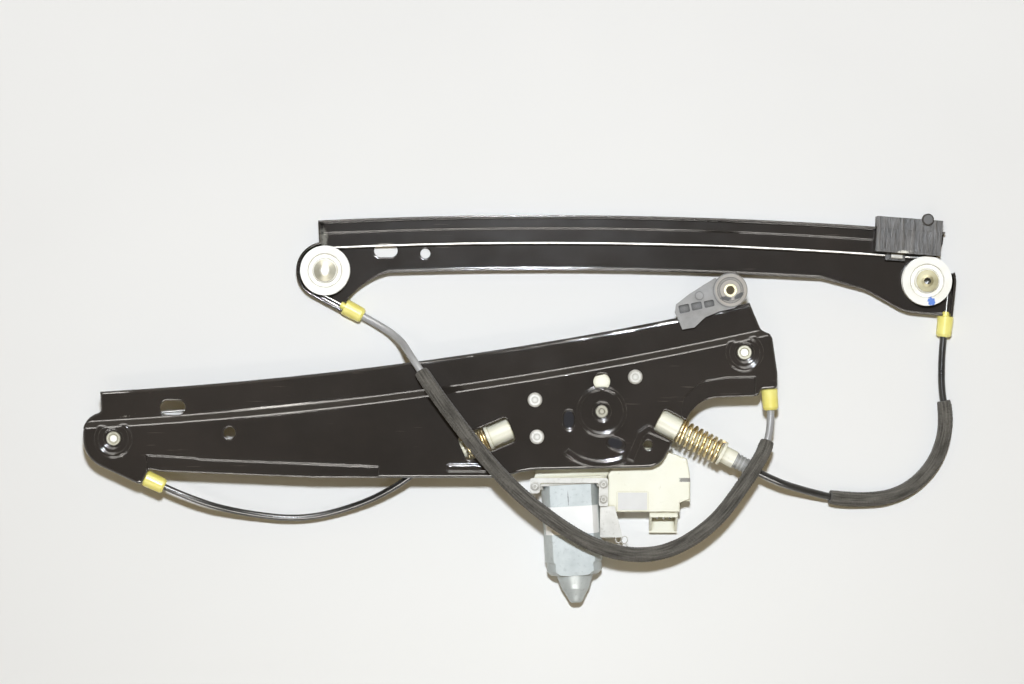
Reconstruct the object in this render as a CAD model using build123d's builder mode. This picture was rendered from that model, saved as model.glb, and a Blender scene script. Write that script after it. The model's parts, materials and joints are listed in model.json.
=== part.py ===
from build123d import *
import os
from math import asin, atan2, cos, degrees, pi, radians, sin, sqrt, tan

# Twin-rail cable window regulator, lying flat with its floor at Z = 0.
# X runs along the rails, Y across them and Z up. Millimetres throughout.
# A cable loop runs: drum, right tensioner, plain rail, motor rail, left tensioner, drum.

os.makedirs("parts", exist_ok=True)

# ---- Sheet metal ----
gauge = 1.4                    # thickness of both pressed rails
press_radius = 2.2             # outside radius of a pressed edge
touch = 0.05                   # gap between pieces that seat on each other
running = 0.06                 # radial clearance of a shaft in its bore
sliding = 0.35                 # clearance between a sliding piece and its guide

# ---- Cable and pulleys ----
cable_radius = 0.8
cable_gap = 0.35               # cable to anything that moves along or past it
groove_radius = 15.8           # pulley axis to cable centre
pulley_radius = 17.3
pulley_width = 8.0
pulley_bore = 4.2
pulley_web = 3.6               # thickness of the pulley between hub and rim
pulley_hub = 8.2
pulley_rim = 2.6               # radial depth of the rim under the groove

# ---- Plain rail, flanges up, lying on the floor ----
plain_left = (-135.3, 96.8)    # pulley axes
plain_right = (284.5, 89.5)
plain_curve = 3300.0           # radius of the cable line, centre below the rail
plain_height = 12.0            # height of its flanges
plain_cable_z = 6.5
plain_top = 19.2               # cable line to the guide flange
plain_bottom = 19.3            # cable line to the lower flange
plain_step = 10.2              # cable line to the fold of the raised guide band
plain_step_rise = 2.4
plain_lobe = 20.0              # radius of the rail round each pulley
plain_left_over = 3.0          # the rail runs on past the left pulley axis
plain_right_over = 9.5
plain_left_foot = 44.0         # where each seat tab blends into the lower edge
plain_right_foot = 74.0
plain_right_knees = [(-15.6, -21.9), (-43.0, -6.4)]   # corners of its edge, from the axis
plain_knee_radius = 30.0
plain_slot_at = (-168.3, -3.5) # station and offset of the mounting slot
plain_slot_length, plain_slot_radius = 16.4, 4.6
plain_hole_at = (-140.7, -6.3)
plain_hole_radius = 3.5
plain_open_from, plain_open_to = 17.0, 66.0   # the right lobe has no edge between these
plain_open_radius = 14.5
seat_fillet_sag = 3.0          # depth of the hollow blend beside a seat

# ---- Motor rail, flanges down, raised by the drive under it ----
motor_left = (-279.9, -19.7)
motor_right = (155.5, 39.7)
motor_curve = 2850.0           # radius of the cable line, centre above the rail
motor_web_z = 36.0             # upper face of the web
motor_cable_z = 28.0
motor_skirt_z = 27.0           # lower rim of the flanges
motor_top = 17.0               # cable line to the guide flange
motor_step = 2.8               # the guide band ends this far below the cable line
motor_step_rise = 3.0
motor_step_run = 5.2           # width of the sloping joggle
pan_reach = 160.0              # past the lowest edge of the motor rail
motor_lobe = 21.0
motor_left_over = 7.0          # the rail runs on past the pulley axes
motor_right_over = 10.5
motor_right_cheek = (11.2, 15.5) # corners beside the right pulley, from its axis
motor_right_side = (19.1, 12.0)
motor_left_cheek = (-21.0, 14.5) # corner beside the left pulley, from its axis
motor_left_shoulder = 3.0      # offset where the guide band meets the left lobe
# corners of the lower edge, which follows the drive and not the cable line
motor_bay_corner = (165.6, 9.6)
motor_bay_top = (124.5, 8.4)
motor_socket_side = (108.5, -17.5)
motor_lower_right = (97.0, -39.5)
motor_gear_edge = (6.0, -41.6)
motor_lower_middle = (-14.0, -46.8)
motor_lower_left = (-140.0, -46.8)
motor_seat_reach = 6.2         # the right seat reaches this far inside the cable
motor_seat_toe = (8.5, -1.6)   # the edge beside the left seat, from its inner corner

motor_slot_at = (-238.5, 1.8)
motor_slot_length, motor_slot_radius = 17.5, 5.0
motor_hole_at, motor_hole_radius = (-199.6, -15.7), 4.1
motor_small_hole_at, motor_small_hole_radius = (88.7, -24.0), 3.2
access_hole_at, access_hole_radius = (57.0, 19.7), 5.8
access_flat = 1.3              # how far the flat cuts into the access hole
# fold lines beyond which the web drops to a lower band along the edge
motor_lower_fold = [(-257.0, -30.5), (-224.0, -32.5), (-220.0, -33.5), (-97.0, -38.4)]
motor_bay_fold = [(112.0, 1.0), (113.5, 8.6), (121.9, 17.3), (128.8, 20.7), (142.6, 23.1),
                  (163.0, 23.5)]
fold_drop = 1.6
arc_bead_radius, arc_bead_from, arc_bead_to = 36.5, -132.0, -66.0
tunnel_bead = [(76.5, -34.5), (84.0, -16.5), (89.0, -13.0), (104.5, -19.5)]
left_bead = [(-49.0, -40.0), (-23.0, -40.0)]
bead_width, bead_height = 4.6, 1.0
lobe_ring_radius, lobe_ring_width = 13.0, 2.6
hook_places = [(34.2, -6.8, 90.0), (66.7, -23.3, -20.0)]
hook_width, hook_length, hook_depth = 8.6, 9.6, 0.9
drum_boss, drum_ring = 8.0, 17.2
conduit_notch_at, conduit_notch_length = (-74.0, -46.8), 39.0
screw_places = [(10.9, 7.0), (12.3, -18.5), (80.1, 22.8)]
screw_radius, screw_head = 2.9, 5.1
rivet_head, rivet_dimple = 5.1, 3.4
plain_rivet_head, rivet_core = 7.7, 2.3

# ---- Conduit end caps: angle of the cable there, and distance to the seat wall ----
cap_radius = 5.7
cap_length = 14.5
cap_neck = 2.7
cap_lip = 1.6
cap_socket = 4.0               # how far a conduit enters its cap
plain_left_exit, plain_left_seat = -28.0, 23.7
plain_right_exit, plain_right_seat = -96.0, 23.0
motor_left_exit, motor_left_seat = -25.0, 31.0
motor_right_exit, motor_right_seat = -86.0, 26.5

# ---- Drum and gear ----
drum_at = (57.0, -1.0)
drum_groove = 13.5             # drum axis to cable centre
drum_flange = 16.4
drum_height = 10.6
drum_turns = 4
drum_pitch = 2.1
drum_hub = 6.0
spindle_radius = 3.9
wheel_tip = 20.2
wheel_width = 9.0
wheel_teeth = 60
wheel_tooth = 1.2              # depth of a tooth
spindle_head = 4.5
gear_floor = 6.3               # underside of the wheel's hub
gear_top = 20.0                # where the wheel's hub meets the drum's
housing_floor = 4.0            # foot of the spindle
gear_case_low, gear_case_high = 2.0, 20.2
gear_case_radius, gear_cavity = 24.5, 20.8
worm_case_radius = 8.0
worm_radius = 4.0
worm_length = 24.0
worm_gap = 0.35

# ---- Motor ----
motor_axis_z = 14.0
motor_tilt = -86.8             # direction of the motor axis in plan, degrees
motor_mouth = 48.0             # drum axis to the motor flange, along the motor axis
can_radius = 20.0
can_flat = 14.0                # half thickness over the can's two flats
can_length = 61.0
can_wall = 1.2
magnet_thickness = 3.6
armature_radius = 12.2
shaft_radius = 2.5
flange_depth = 3.5             # depth of the gear case's flange
flange_plate = 1.6
flange_screw, flange_head = 1.9, 3.3   # radii of the motor's screws and their heads
flange_head_high = 2.2
flange_head_gap = 0.25         # screw heads to the can's round side
flange_edge = 2.9              # screw axis to the edge of the flange
flange_screw_rise = 9.4        # screw axes above and below the motor axis
can_nose = 132.0               # foot of the motor axis to the tip of the nose
nose_radius = 4.9

# ---- Steel bracket over the motor's flange ----
bracket_plate = 1.4
bracket_depth = 3.4            # of the strip between its two ears
bracket_back = 3.1             # its back edge stands this far behind the motor's flange
bracket_left_over, bracket_right_over = 3.0, 2.0   # beyond the ends of the flange
left_ear_width, left_ear_depth = 6.6, 10.6
right_ear_width, right_ear_depth = 6.4, 19.6
left_ear_screw = 5.8           # back edge of the bracket to each screw
right_ear_screws = (4.4, 14.8)
ear_head, ear_shank = 2.6, 1.5 # radii

# ---- Small plate beside the motor ----
shield_front = 15.6            # its width at its outer end
shield_length = 21.6
shield_slant = 5.6             # the plate's outer side runs out by this much
shield_plate = 1.6

# ---- Drum housing ----
drum_case_high = 34.25
drum_case_floor = 2.0
drum_case_radius, drum_cavity = 21.5, 17.0
screw_pillar = 6.5

# ---- Electronics housing ----
box_low, box_high = 4.0, 24.0
box_gap = 1.9                  # the box's side to the end of the motor's flange
box_back, box_mouth = -26.0, -71.0
box_corners = [(97.0, -27.0), (116.4, -34.2), (118.5, -45.3), (118.5, -62.0),
               (111.5, -64.7), (111.5, -71.0)]
box_rounding = 1.2
plug_centre, plug_width, plug_low, plug_high = 100.4, 19.4, 5.0, 21.0
plug_top, plug_mouth, plug_wall, plug_depth = -55.7, -86.2, 1.6, 22.0
plug_scarf = 11.5              # how much shorter the shroud's upper wall is
label_pad_at, label_pad_size = (78.6, -63.5), (21.4, 13.2)
lug_at, lug_size = (114.6, -56.0), (8.0, 15.0)
lug_low, lug_high = 8.0, 21.5
pin_size, pin_length, pin_pitch = 1.0, 12.0, 4.4

# ---- Tensioners: direction of the cable from the drum, and stations along it ----
right_pull, left_pull = -28.0, 203.0
socket_start = 14.0            # where both sockets leave the drum housing
right_socket_end, left_socket_end = 53.0, 80.0
right_window_start, left_window_start = 37.0, 62.0
left_window_end = 99.0
window_gap = 0.6
socket_radius = 8.0
left_socket_radius = 8.4
hidden_socket_radius = 6.2     # under the web
spring_outer = 8.8
left_spring_outer = 7.6
spring_wire = 1.1
spring_turns = 8
spring_end_gap = 0.3
plunger_radius = 4.6
plunger_travel = 4.0
right_flange, left_flange = 86.0, 97.0   # stations of the plungers' spring flanges
right_flange_radius, left_flange_radius = 8.5, 6.1
plunger_body = 6.0
right_ferrule, left_ferrule = 97.0, 100.0
ferrule_radius = 5.4
ferrule_length = 13.5
conduit_entry = 7.0            # ferrule's near end to the end of the conduit in it

# ---- Conduits and foam sleeves ----
conduit_a_radius = 2.6
conduit_b_radius = 2.5
conduit_c_radius = 2.2
sleeve_radius = 5.4
sleeve_wall_gap = 0.15

conduit_a_route = [(-82.0, 48.2, 16.7), (-73.8, 36.2, 45.0), (-53.0, 5.1, 50.4),
                   (-16.0, -42.5, 47.5), (17.0, -72.5, 44.0), (57.0, -97.5, 39.0),
                   (97.0, -101.5, 34.0), (132.5, -81.5, 37.0), (157.0, -48.0, 43.0)]
conduit_b_route = [(299.5, -11.0, 6.0), (289.5, -41.5, 5.8), (264.0, -62.0, 5.8),
                   (227.0, -63.5, 8.5), (199.0, -56.5, 17.0)]
conduit_c_route = [(-190.0, -72.5, 15.0), (-150.0, -77.0, 11.0), (-112.0, -67.0, 14.0),
                   (-86.0, -54.0, 22.0)]
conduit_a_ends = (53.9, 59.5)  # stations of the last corner beside each end
conduit_b_ends = (66.0, 128.0)
conduit_c_ends = (70.0, 126.0)
sleeve_a_turns = (4, 10)       # corners that each sleeve covers
sleeve_b_turns = (2, 5)
sleeve_start_share = 0.42      # how far along its first run each sleeve begins

# ---- Carriers ----
plain_shoe = (172.8, 218.0)    # stations of the plain rail's carrier at its right end
plain_block_inner = 2.0        # offsets of its faces from the cable line
plain_block_outer = 26.5
plain_block_high = 17.0
plain_leg_low = 0.8
plain_slot_z = 12.35
knob_at, knob_radius, knob_high = (284.0, 131.9), 4.2, 20.0
nipple_radius, nipple_length = 2.2, 8.0
nipple_setback = 12.0          # end of the plain shoe to its nipple
nipple_bore = 1.15
motor_shoe = (179.0, 206.0)
motor_leg_outer = 22.5
motor_bridge_low, motor_bridge_high = 21.0, 26.6
motor_block_inner = 3.0
motor_block_high = 36.4
arm_low, arm_high = 39.4, 44.0
arm_corners = [(134.8, 91.1), (117.0, 79.8), (108.1, 72.9), (107.1, 67.4), (112.2, 55.5),
               (120.4, 56.8), (128.0, 64.0), (137.5, 67.8), (147.8, 70.2), (156.4, 76.3)]
arm_head_at, arm_head_radius = (145.1, 82.5), 11.9
insert_radius, insert_bore = 4.4, 3.0
insert_length = 9.0
arm_boss_at, arm_boss_radius = (123.8, 78.7), 2.5


class Rail:
    """The cable line of one rail: an arc that leaves two pulleys on their upper sides.

    side is +1 where the centre of curvature lies above the rail and -1 below.
    """

    def __init__(self, left, right, radius, side):
        self.left = Vector(*left)
        self.right = Vector(*right)
        self.radius = radius
        self.side = side
        chord = self.right - self.left
        self.along = chord.normalized()
        self.normal = Vector(-self.along.Y, self.along.X)
        reach = radius + side * groove_radius
        height = sqrt(reach**2 - (chord.length / 2) ** 2)
        self.centre = (self.left + self.right) * 0.5 + self.normal * (side * height)
        self.end = radius * asin(chord.length / 2 / reach)

    def at(self, station, offset, z=0.0):
        """Point a station along the cable line and an offset above it."""
        angle = station / self.radius
        reach = self.radius - self.side * offset
        across = self.normal * (-self.side * reach * cos(angle))
        return self.centre + self.along * (reach * sin(angle)) + across + Vector(0, 0, z)

    def arc(self, start, finish, offset, z=0.0):
        middle = (start + finish) / 2
        points = [self.at(s, offset, z) for s in (start, middle, finish)]
        return ThreePointArc(*points)

    def strip(self, start, finish, low, high, mode=Mode.ADD):
        """Face between two stations and two offsets, for the sketch that calls it."""
        with BuildLine() as edge:
            lower = self.arc(start, finish, low)
            upper = self.arc(start, finish, high)
            Line(lower @ 0, upper @ 0)
            Line(lower @ 1, upper @ 1)
        make_face(edge.edges(), mode=mode)


class Exit:
    """Where the cable leaves a pulley or the drum in a straight line."""

    def __init__(self, centre, radius, angle, turn, z):
        self.centre = Vector(*centre)
        self.z = z
        self.angle = angle
        self.along = Vector(cos(radians(angle)), sin(radians(angle)))
        self.out = Vector(-self.along.Y, self.along.X) * turn
        self.start = self.centre + self.out * radius

    def at(self, station, offset=0.0, rise=0.0):
        """Point on the straight cable, offset away from the pulley's axis."""
        flat = self.start + self.along * station + self.out * offset
        return flat + Vector(0, 0, self.z + rise)

    def plane(self, station):
        """Plane across the cable, its normal pointing away from the pulley."""
        return Plane(origin=self.at(station), x_dir=(0, 0, 1), z_dir=self.along.to_tuple())


plain = Rail(plain_left, plain_right, plain_curve, -1)
motor = Rail(motor_left, motor_right, motor_curve, 1)

plain_left_run = Exit(plain_left, groove_radius, plain_left_exit, -1, plain_cable_z)
plain_right_run = Exit(plain_right, groove_radius, plain_right_exit, 1, plain_cable_z)
motor_left_run = Exit(motor_left, groove_radius, motor_left_exit, -1, motor_cable_z)
motor_right_run = Exit(motor_right, groove_radius, motor_right_exit, 1, motor_cable_z)
right_pull_run = Exit(drum_at, drum_groove, right_pull, 1, motor_cable_z)
left_pull_run = Exit(drum_at, drum_groove, left_pull, -1, motor_cable_z)


def save(part, label):
    part.label = label
    export_step(part, f"parts/{label}.step")


def lift(z):
    return Plane.XY.offset(z)


def lathe(origin, direction, profile, mode=Mode.ADD):
    """Turn a closed profile of (station, radius) points about a line."""
    upright = abs(direction.Z) > 0.5
    frame = Plane(origin=origin, x_dir=direction.to_tuple(),
                  z_dir=(0, 1, 0) if upright else (0, 0, 1))
    with BuildSketch(frame) as section:
        with BuildLine():
            Polyline(*profile, close=True)
        make_face()
    revolve(section.sketch, axis=Axis(origin, direction), mode=mode)


def upright_at(centre, z=0.0):
    return Vector(centre.X, centre.Y, z)


UP = Vector(0, 0, 1)


def prism(z_low, z_high, mode=Mode.ADD):
    """Extrude the sketch just drawn at z_low up to z_high."""
    extrude(amount=z_high - z_low, mode=mode)


# ---------------------------------------------------------------- rails
def seat_tab(run, seat, lobe, foot, inset, knees):
    """Tab of a rail that carries a conduit cap, blended into the rail's edge at foot."""
    outer = run.start + run.out * (lobe - inset - groove_radius)
    corner = outer + run.along * (seat - inset)
    inner = run.start + run.along * (seat - inset) - run.out * (cap_radius + gauge - inset)
    drawn = [run.centre + Vector(*knee) for knee in knees]
    drawn = [knee + (run.centre - knee).normalized() * inset for knee in drawn]
    chord_middle = (inner + foot) * 0.5
    middle = chord_middle + (run.centre - chord_middle).normalized() * seat_fillet_sag
    with BuildLine() as edge:
        Line(run.centre, outer)
        Line(outer, corner)
        Line(corner, inner)
        if drawn:
            FilletPolyline(inner, *drawn, foot, radius=plain_knee_radius)
        else:
            ThreePointArc(inner, middle, foot)
        Line(foot, run.centre)
    make_face(edge.edges())


def cut_seat(run, seat, opens_up):
    """Slot in the seat wall for the cap's neck, open to the free rim of the flange."""
    sign = 1 if opens_up else -1
    with BuildSketch(run.plane(seat - gauge * 3)) as slot:
        Circle(cap_neck + touch)
        with Locations((sign * plain_height, 0)):
            Rectangle(2 * plain_height, 2 * (cap_neck + touch))
    extrude(slot.sketch, amount=gauge * 4, mode=Mode.SUBTRACT)


def plain_outline(inset=0.0):
    """Outline of the plain rail, each of its forms drawn in by the inset."""
    plain.strip(-plain.end - plain_left_over + inset, plain.end + plain_right_over - inset,
                -plain_bottom + inset, plain_top - inset)
    for run in (plain_left_run, plain_right_run):
        with Locations(run.centre.to_tuple()):
            Circle(plain_lobe - inset)
    left_foot = plain.at(-plain.end + plain_left_foot, -plain_bottom + inset)
    right_foot = plain.at(plain.end - plain_right_foot, -plain_bottom + inset)
    seat_tab(plain_left_run, plain_left_seat, plain_lobe, left_foot, inset, [])
    seat_tab(plain_right_run, plain_right_seat, plain_lobe, right_foot, inset,
             plain_right_knees)


def plain_rail():
    """Narrow pressed rail with its flanges up and a raised guide band."""
    band_start = -plain.end - plain_left_over + 2 * gauge
    band_end = plain.end + plain_right_over + 1
    with BuildPart() as rail:
        with BuildSketch():
            plain_outline()
        extrude(amount=plain_height)
        fillet(rail.faces().sort_by(Axis.Z)[0].edges(), press_radius)
        with BuildSketch(lift(gauge)):
            plain_outline(gauge)
        prism(gauge, plain_height + 1, Mode.SUBTRACT)
        with BuildSketch(lift(gauge / 2)):
            plain.strip(band_start, band_end - 1, plain_step, plain_top - gauge / 2)
        prism(gauge / 2, gauge + plain_step_rise)
        with BuildSketch():
            plain.strip(band_start + gauge, band_end - 3 * gauge, plain_step + gauge,
                        plain_top - press_radius)
        prism(0, plain_step_rise, Mode.SUBTRACT)
        # the guide end is open, so that the carrier can run past the last of the web
        with BuildSketch(lift(gauge + plain_step_rise)):
            plain.strip(plain.end - 6, plain.end + 30, 0, plain_top - gauge)
        prism(gauge + plain_step_rise, plain_height + 1, Mode.SUBTRACT)
        for run in (plain_left_run, plain_right_run):
            with BuildSketch(lift(gauge / 2)):
                with Locations(run.centre.to_tuple()):
                    Circle(pulley_hub)
            prism(gauge / 2, plain_cable_z - pulley_width / 2 - sliding)
        # the right pulley overhangs the rail's open corner
        with BuildSketch() as corner:
            with BuildLine():
                sides = [PolarLine(plain_right, 2 * plain_lobe, angle)
                         for angle in (plain_open_from, plain_open_to)]
                Line(sides[0] @ 1, sides[1] @ 1)
            make_face()
            with Locations(plain_right):
                Circle(plain_open_radius, mode=Mode.SUBTRACT)
        prism(0, plain_height + 1, Mode.SUBTRACT)
        cut_seat(plain_left_run, plain_left_seat, True)
        cut_seat(plain_right_run, plain_right_seat, True)
        for run in (plain_left_run, plain_right_run):
            with BuildSketch():
                with Locations(run.centre.to_tuple()):
                    Circle(pulley_bore - running + touch / 2)
            prism(0, plain_height, Mode.SUBTRACT)
        with BuildSketch():
            with Locations(plain.at(*plain_slot_at).to_tuple()):
                SlotOverall(plain_slot_length, 2 * plain_slot_radius)
            with Locations(plain.at(*plain_hole_at).to_tuple()):
                Circle(plain_hole_radius)
        prism(0, gauge * 2, Mode.SUBTRACT)
    return rail.part


def draw_in(corners, inset):
    """Corners of a clockwise outline moved in by the inset, with radii to match."""
    drawn = [corners[0]]
    for (before, _), (here, radius), (after, _) in zip(corners, corners[1:], corners[2:]):
        first = (here - before).normalized()
        second = (after - here).normalized()
        first_in = Vector(first.Y, -first.X)
        second_in = Vector(second.Y, -second.X)
        step = (first_in + second_in) * (inset / (1 + first_in.dot(second_in)))
        convex = first.X * second.Y - first.Y * second.X < 0
        drawn.append((here + step, radius - inset if convex else radius + inset))
    return drawn + [corners[-1]]


def motor_corners(inset):
    """Corners of the motor rail from its top right round to its top left, with radii."""
    right, left = motor_right_run, motor_left_run
    right_outer = right.start + right.out * (motor_lobe - groove_radius)
    right_corner = right_outer + right.along * motor_right_seat
    left_outer = left.start + left.out * (motor_lobe - groove_radius)
    left_corner = left_outer + left.along * motor_left_seat
    left_inner = left.start + left.along * motor_left_seat - left.out * (cap_radius + gauge)
    left_side = left.centre.X - motor_lobe
    slide_down = (left_outer.X - left_side) / left.along.X
    shoulder = motor.at(-motor.end - motor_left_over, motor_left_shoulder)
    corners = [
        (motor.at(motor.end + motor_right_over, motor_top), 0),
        (right.centre + Vector(*motor_right_cheek), 6),
        (right.centre + Vector(*motor_right_side), 6),
        (right_corner + Vector(0, 11.0), 10),
        (right_corner, 3),
        (right.start + right.along * motor_right_seat - right.out * motor_seat_reach, 2),
        (Vector(*motor_bay_corner), 3.4),
        (Vector(*motor_bay_top), 24),
        (Vector(*motor_socket_side), 12),
        (Vector(*motor_lower_right), 14),
        (Vector(*motor_gear_edge), 60),
        (Vector(*motor_lower_middle), 30),
        (Vector(*motor_lower_left), 60),
        (left_inner + Vector(*motor_seat_toe), 6),
        (left_inner, 2),
        (left_corner, 3),
        (left_outer + left.along * -slide_down, motor_lobe),
        (left.centre + Vector(*motor_left_cheek), motor_lobe * 0.7),
        (shoulder, 3),
        (motor.at(-motor.end - motor_left_over, motor_top), 0),
    ]
    corners = draw_in(corners, inset)
    corners[0] = (motor.at(motor.end + motor_right_over - inset, motor_top - inset), 0)
    corners[-1] = (motor.at(-motor.end - motor_left_over + inset, motor_top - inset), 0)
    return corners


def motor_outline(inset=0.0):
    corners = motor_corners(inset)
    points = [point for point, _ in corners]
    radii = [radius for _, radius in corners[1:-1]]
    with BuildLine() as edge:
        FilletPolyline(*points, radius=radii)
        motor.arc(-motor.end - motor_left_over + inset,
                  motor.end + motor_right_over - inset, motor_top - inset)
    make_face(edge.edges())


def motor_prism(inset, skirt_z, top_z, rounding):
    """The motor rail's outline as a prism, with its upper rim rounded."""
    with BuildPart() as block:
        with BuildSketch(lift(skirt_z)):
            motor_outline(inset)
        prism(skirt_z, top_z)
        if rounding:
            fillet(block.faces().sort_by(Axis.Z)[-1].edges(), rounding)
    return block.part


def motor_pan(inset, skirt_z, web_z, rounding):
    """Solid of the motor rail's pressed form, whose guide band is raised by a joggle."""
    band_z = web_z + motor_step_rise
    reach = motor.end + 60
    low = -motor_step - inset * 0.4
    with BuildPart() as band:
        add(motor_prism(inset, skirt_z, band_z, rounding))
        with BuildSketch(lift(web_z)):
            motor.strip(-reach, reach, -pan_reach, low - motor_step_run)
        with BuildSketch(lift(band_z)):
            motor.strip(-reach, reach, -pan_reach, low)
        loft(ruled=True, mode=Mode.SUBTRACT)
        with BuildSketch(lift(skirt_z)):
            motor.strip(-reach, reach, -pan_reach, low - motor_step_run)
        prism(skirt_z, web_z, Mode.SUBTRACT)
    with BuildPart() as pan:
        add(motor_prism(inset, skirt_z, web_z, rounding))
        add(band.part)
    return pan.part


def bead(edges, width):
    """Raised stiffening bead along a line on the motor rail's web, open underneath."""
    for z, mode, swell in ((motor_web_z, Mode.ADD, 0.0),
                           (motor_web_z - gauge, Mode.SUBTRACT, gauge / 2)):
        with BuildSketch(lift(z)) as path:
            trace(edges, line_width=width - 2 * swell)
        extrude(path.sketch, amount=bead_height, mode=mode)


def beyond_fold(fold, drop_z, top_z):
    """Prism over the band between a fold line and the lower edge of the motor rail."""
    low = motor_lower_left[1] - motor_lobe
    with BuildPart() as band:
        with BuildSketch(lift(drop_z)):
            with BuildLine():
                Polyline(*fold, (fold[-1][0], low), (fold[0][0], low), close=True)
            make_face()
        prism(drop_z, top_z)
    return band.part


def motor_rail():
    """Wide pressed rail with its flanges down; it carries the drive and the drum."""
    web_under = motor_web_z - gauge
    spacer_z = motor_cable_z + pulley_width / 2 + sliding
    boss_z = motor_cable_z + drum_height / 2 + sliding
    with BuildPart() as void:
        add(motor_pan(gauge, motor_skirt_z - 1, web_under, 0))
        for fold in (motor_lower_fold, motor_bay_fold):
            add(beyond_fold(fold, web_under - fold_drop, motor_web_z), mode=Mode.SUBTRACT)
    with BuildPart() as rail:
        add(motor_pan(0.0, motor_skirt_z, motor_web_z, press_radius))
        for fold in (motor_lower_fold, motor_bay_fold):
            shifted = [(x, y - gauge / 2) for x, y in fold]
            add(beyond_fold(shifted, motor_web_z - fold_drop, motor_web_z + 1),
                mode=Mode.SUBTRACT)
        add(void.part, mode=Mode.SUBTRACT)
        with BuildLine() as around:
            CenterArc(drum_at, arc_bead_radius, arc_bead_from, arc_bead_to - arc_bead_from)
        with BuildLine() as tunnel:
            Polyline(*tunnel_bead)
        with BuildLine() as left:
            Polyline(*left_bead)
        for line in (around, tunnel, left):
            bead(line.edges(), bead_width)
        # recessed hubs, whose undersides space the pulleys and the drum from the web
        hubs = [(motor_right_run.centre, pulley_hub, spacer_z),
                (motor_left_run.centre, pulley_hub, spacer_z),
                (Vector(*drum_at), drum_boss, boss_z)]
        for centre, radius, low_z in hubs:
            with BuildSketch(lift(low_z)):
                with Locations(centre.to_tuple()):
                    Circle(radius)
            prism(low_z, web_under + gauge / 2)
            with BuildSketch(lift(low_z + gauge)):
                with Locations(centre.to_tuple()):
                    Circle(radius - gauge)
            prism(low_z + gauge, motor_web_z + 1, Mode.SUBTRACT)
        # pressed rings round the drum boss and the right pulley's hub
        with BuildSketch(lift(motor_web_z - gauge / 2)):
            with Locations(drum_at):
                Circle(drum_ring)
                Circle(drum_ring - 2.4, mode=Mode.SUBTRACT)
            for run in (motor_left_run, motor_right_run):
                with Locations(run.centre.to_tuple()):
                    Circle(lobe_ring_radius)
                    Circle(lobe_ring_radius - lobe_ring_width, mode=Mode.SUBTRACT)
        prism(motor_web_z - gauge / 2, motor_web_z + 0.8)
        # dished hooks pressed beside the drum
        with BuildSketch(lift(motor_web_z - hook_depth)):
            for x, y, turn in hook_places:
                with Locations(Location((x, y, 0), (0, 0, turn))):
                    SlotOverall(hook_length + hook_width / 2, hook_width)
        prism(motor_web_z - hook_depth, motor_web_z + 1, Mode.SUBTRACT)
        # the sockets of both tensioners pass through windows in the web
        with BuildSketch(lift(motor_skirt_z - 1)):
            for run, radius, start, finish in socket_windows():
                with Locations(Location(run.at((start + finish) / 2).to_tuple()[:2] + (0,),
                                        (0, 0, run.angle))):
                    RectangleRounded(finish - start, 2 * (radius + window_gap), 3)
        prism(motor_skirt_z - 1, motor_web_z + motor_step_rise + 1, Mode.SUBTRACT)
        cut_seat(motor_left_run, motor_left_seat, False)
        cut_seat(motor_right_run, motor_right_seat, False)
        # notch that lets the left conduit in under the lower flange
        with BuildSketch(lift(motor_skirt_z - 1)):
            with Locations(conduit_notch_at):
                Rectangle(conduit_notch_length, 12)
        prism(motor_skirt_z - 1, web_under - 0.6, Mode.SUBTRACT)
        # holes: pulley rivets, spindle, screws, fixings
        with BuildSketch(lift(motor_skirt_z)):
            for centre in (motor_right_run.centre, motor_left_run.centre):
                with Locations(centre.to_tuple()):
                    Circle(pulley_bore - running + touch / 2)
            with Locations(drum_at):
                Circle(spindle_radius + touch / 2)
            with Locations(*screw_places):
                Circle(screw_radius + touch)
            with Locations(motor_slot_at):
                SlotOverall(motor_slot_length, 2 * motor_slot_radius)
            with Locations(motor_hole_at):
                Circle(motor_hole_radius)
            with Locations(motor_small_hole_at):
                Circle(motor_small_hole_radius)
            with Locations(access_hole_at):
                Circle(access_hole_radius)
        prism(motor_skirt_z, motor_web_z + motor_step_rise + 1, Mode.SUBTRACT)
        # the access hole has one flat side
        with BuildSketch(lift(web_under)):
            with Locations((access_hole_at[0], access_hole_at[1] - access_hole_radius)):
                Rectangle(2 * access_hole_radius, 2 * access_flat)
        prism(web_under, motor_web_z)
    return rail.part


def socket_windows():
    """Run, socket radius and both ends of the window over each tensioner socket."""
    return [(right_pull_run, socket_radius, right_window_start, right_flange),
            (left_pull_run, left_socket_radius, left_window_start, left_window_end)]


# ---------------------------------------------------------------- pulleys and rivets
def pulley(centre, cable_z):
    """Grooved plastic pulley with a thick hub and rim and a thinner web."""
    half = pulley_width / 2
    floor = groove_radius - cable_radius - cable_gap
    rim_in = floor - pulley_rim
    mouth = cable_radius + cable_gap + 1.1
    with BuildPart() as wheel:
        lathe(upright_at(centre, cable_z), UP, [
            (-half, pulley_bore), (half, pulley_bore), (half, pulley_hub),
            (pulley_web / 2, pulley_hub + 0.8), (pulley_web / 2, rim_in - 0.8),
            (half, rim_in), (half, pulley_radius), (mouth, pulley_radius),
            (cable_radius + cable_gap, floor), (-cable_radius - cable_gap, floor),
            (-mouth, pulley_radius), (-half, pulley_radius), (-half, rim_in),
            (-pulley_web / 2, rim_in - 0.8), (-pulley_web / 2, pulley_hub + 0.8),
            (-half, pulley_hub),
        ])
    return wheel.part


def plain_rivet(centre, head, crown, pierced):
    """Rivet of a plain-rail pulley: its foot is flush with the floor, its head above."""
    top = plain_cable_z + pulley_width / 2 + sliding
    shank = pulley_bore - running
    core = rivet_core if pierced else 0.0
    with BuildPart() as rivet:
        lathe(upright_at(centre), UP, [
            (0, core), (0, shank), (top, shank), (top, head), (top + 1.2, head),
            (top + crown, head * 0.55), (top + crown + 0.6, head * 0.3),
            (top + crown + 0.6, core),
        ])
    return rivet.part


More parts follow.
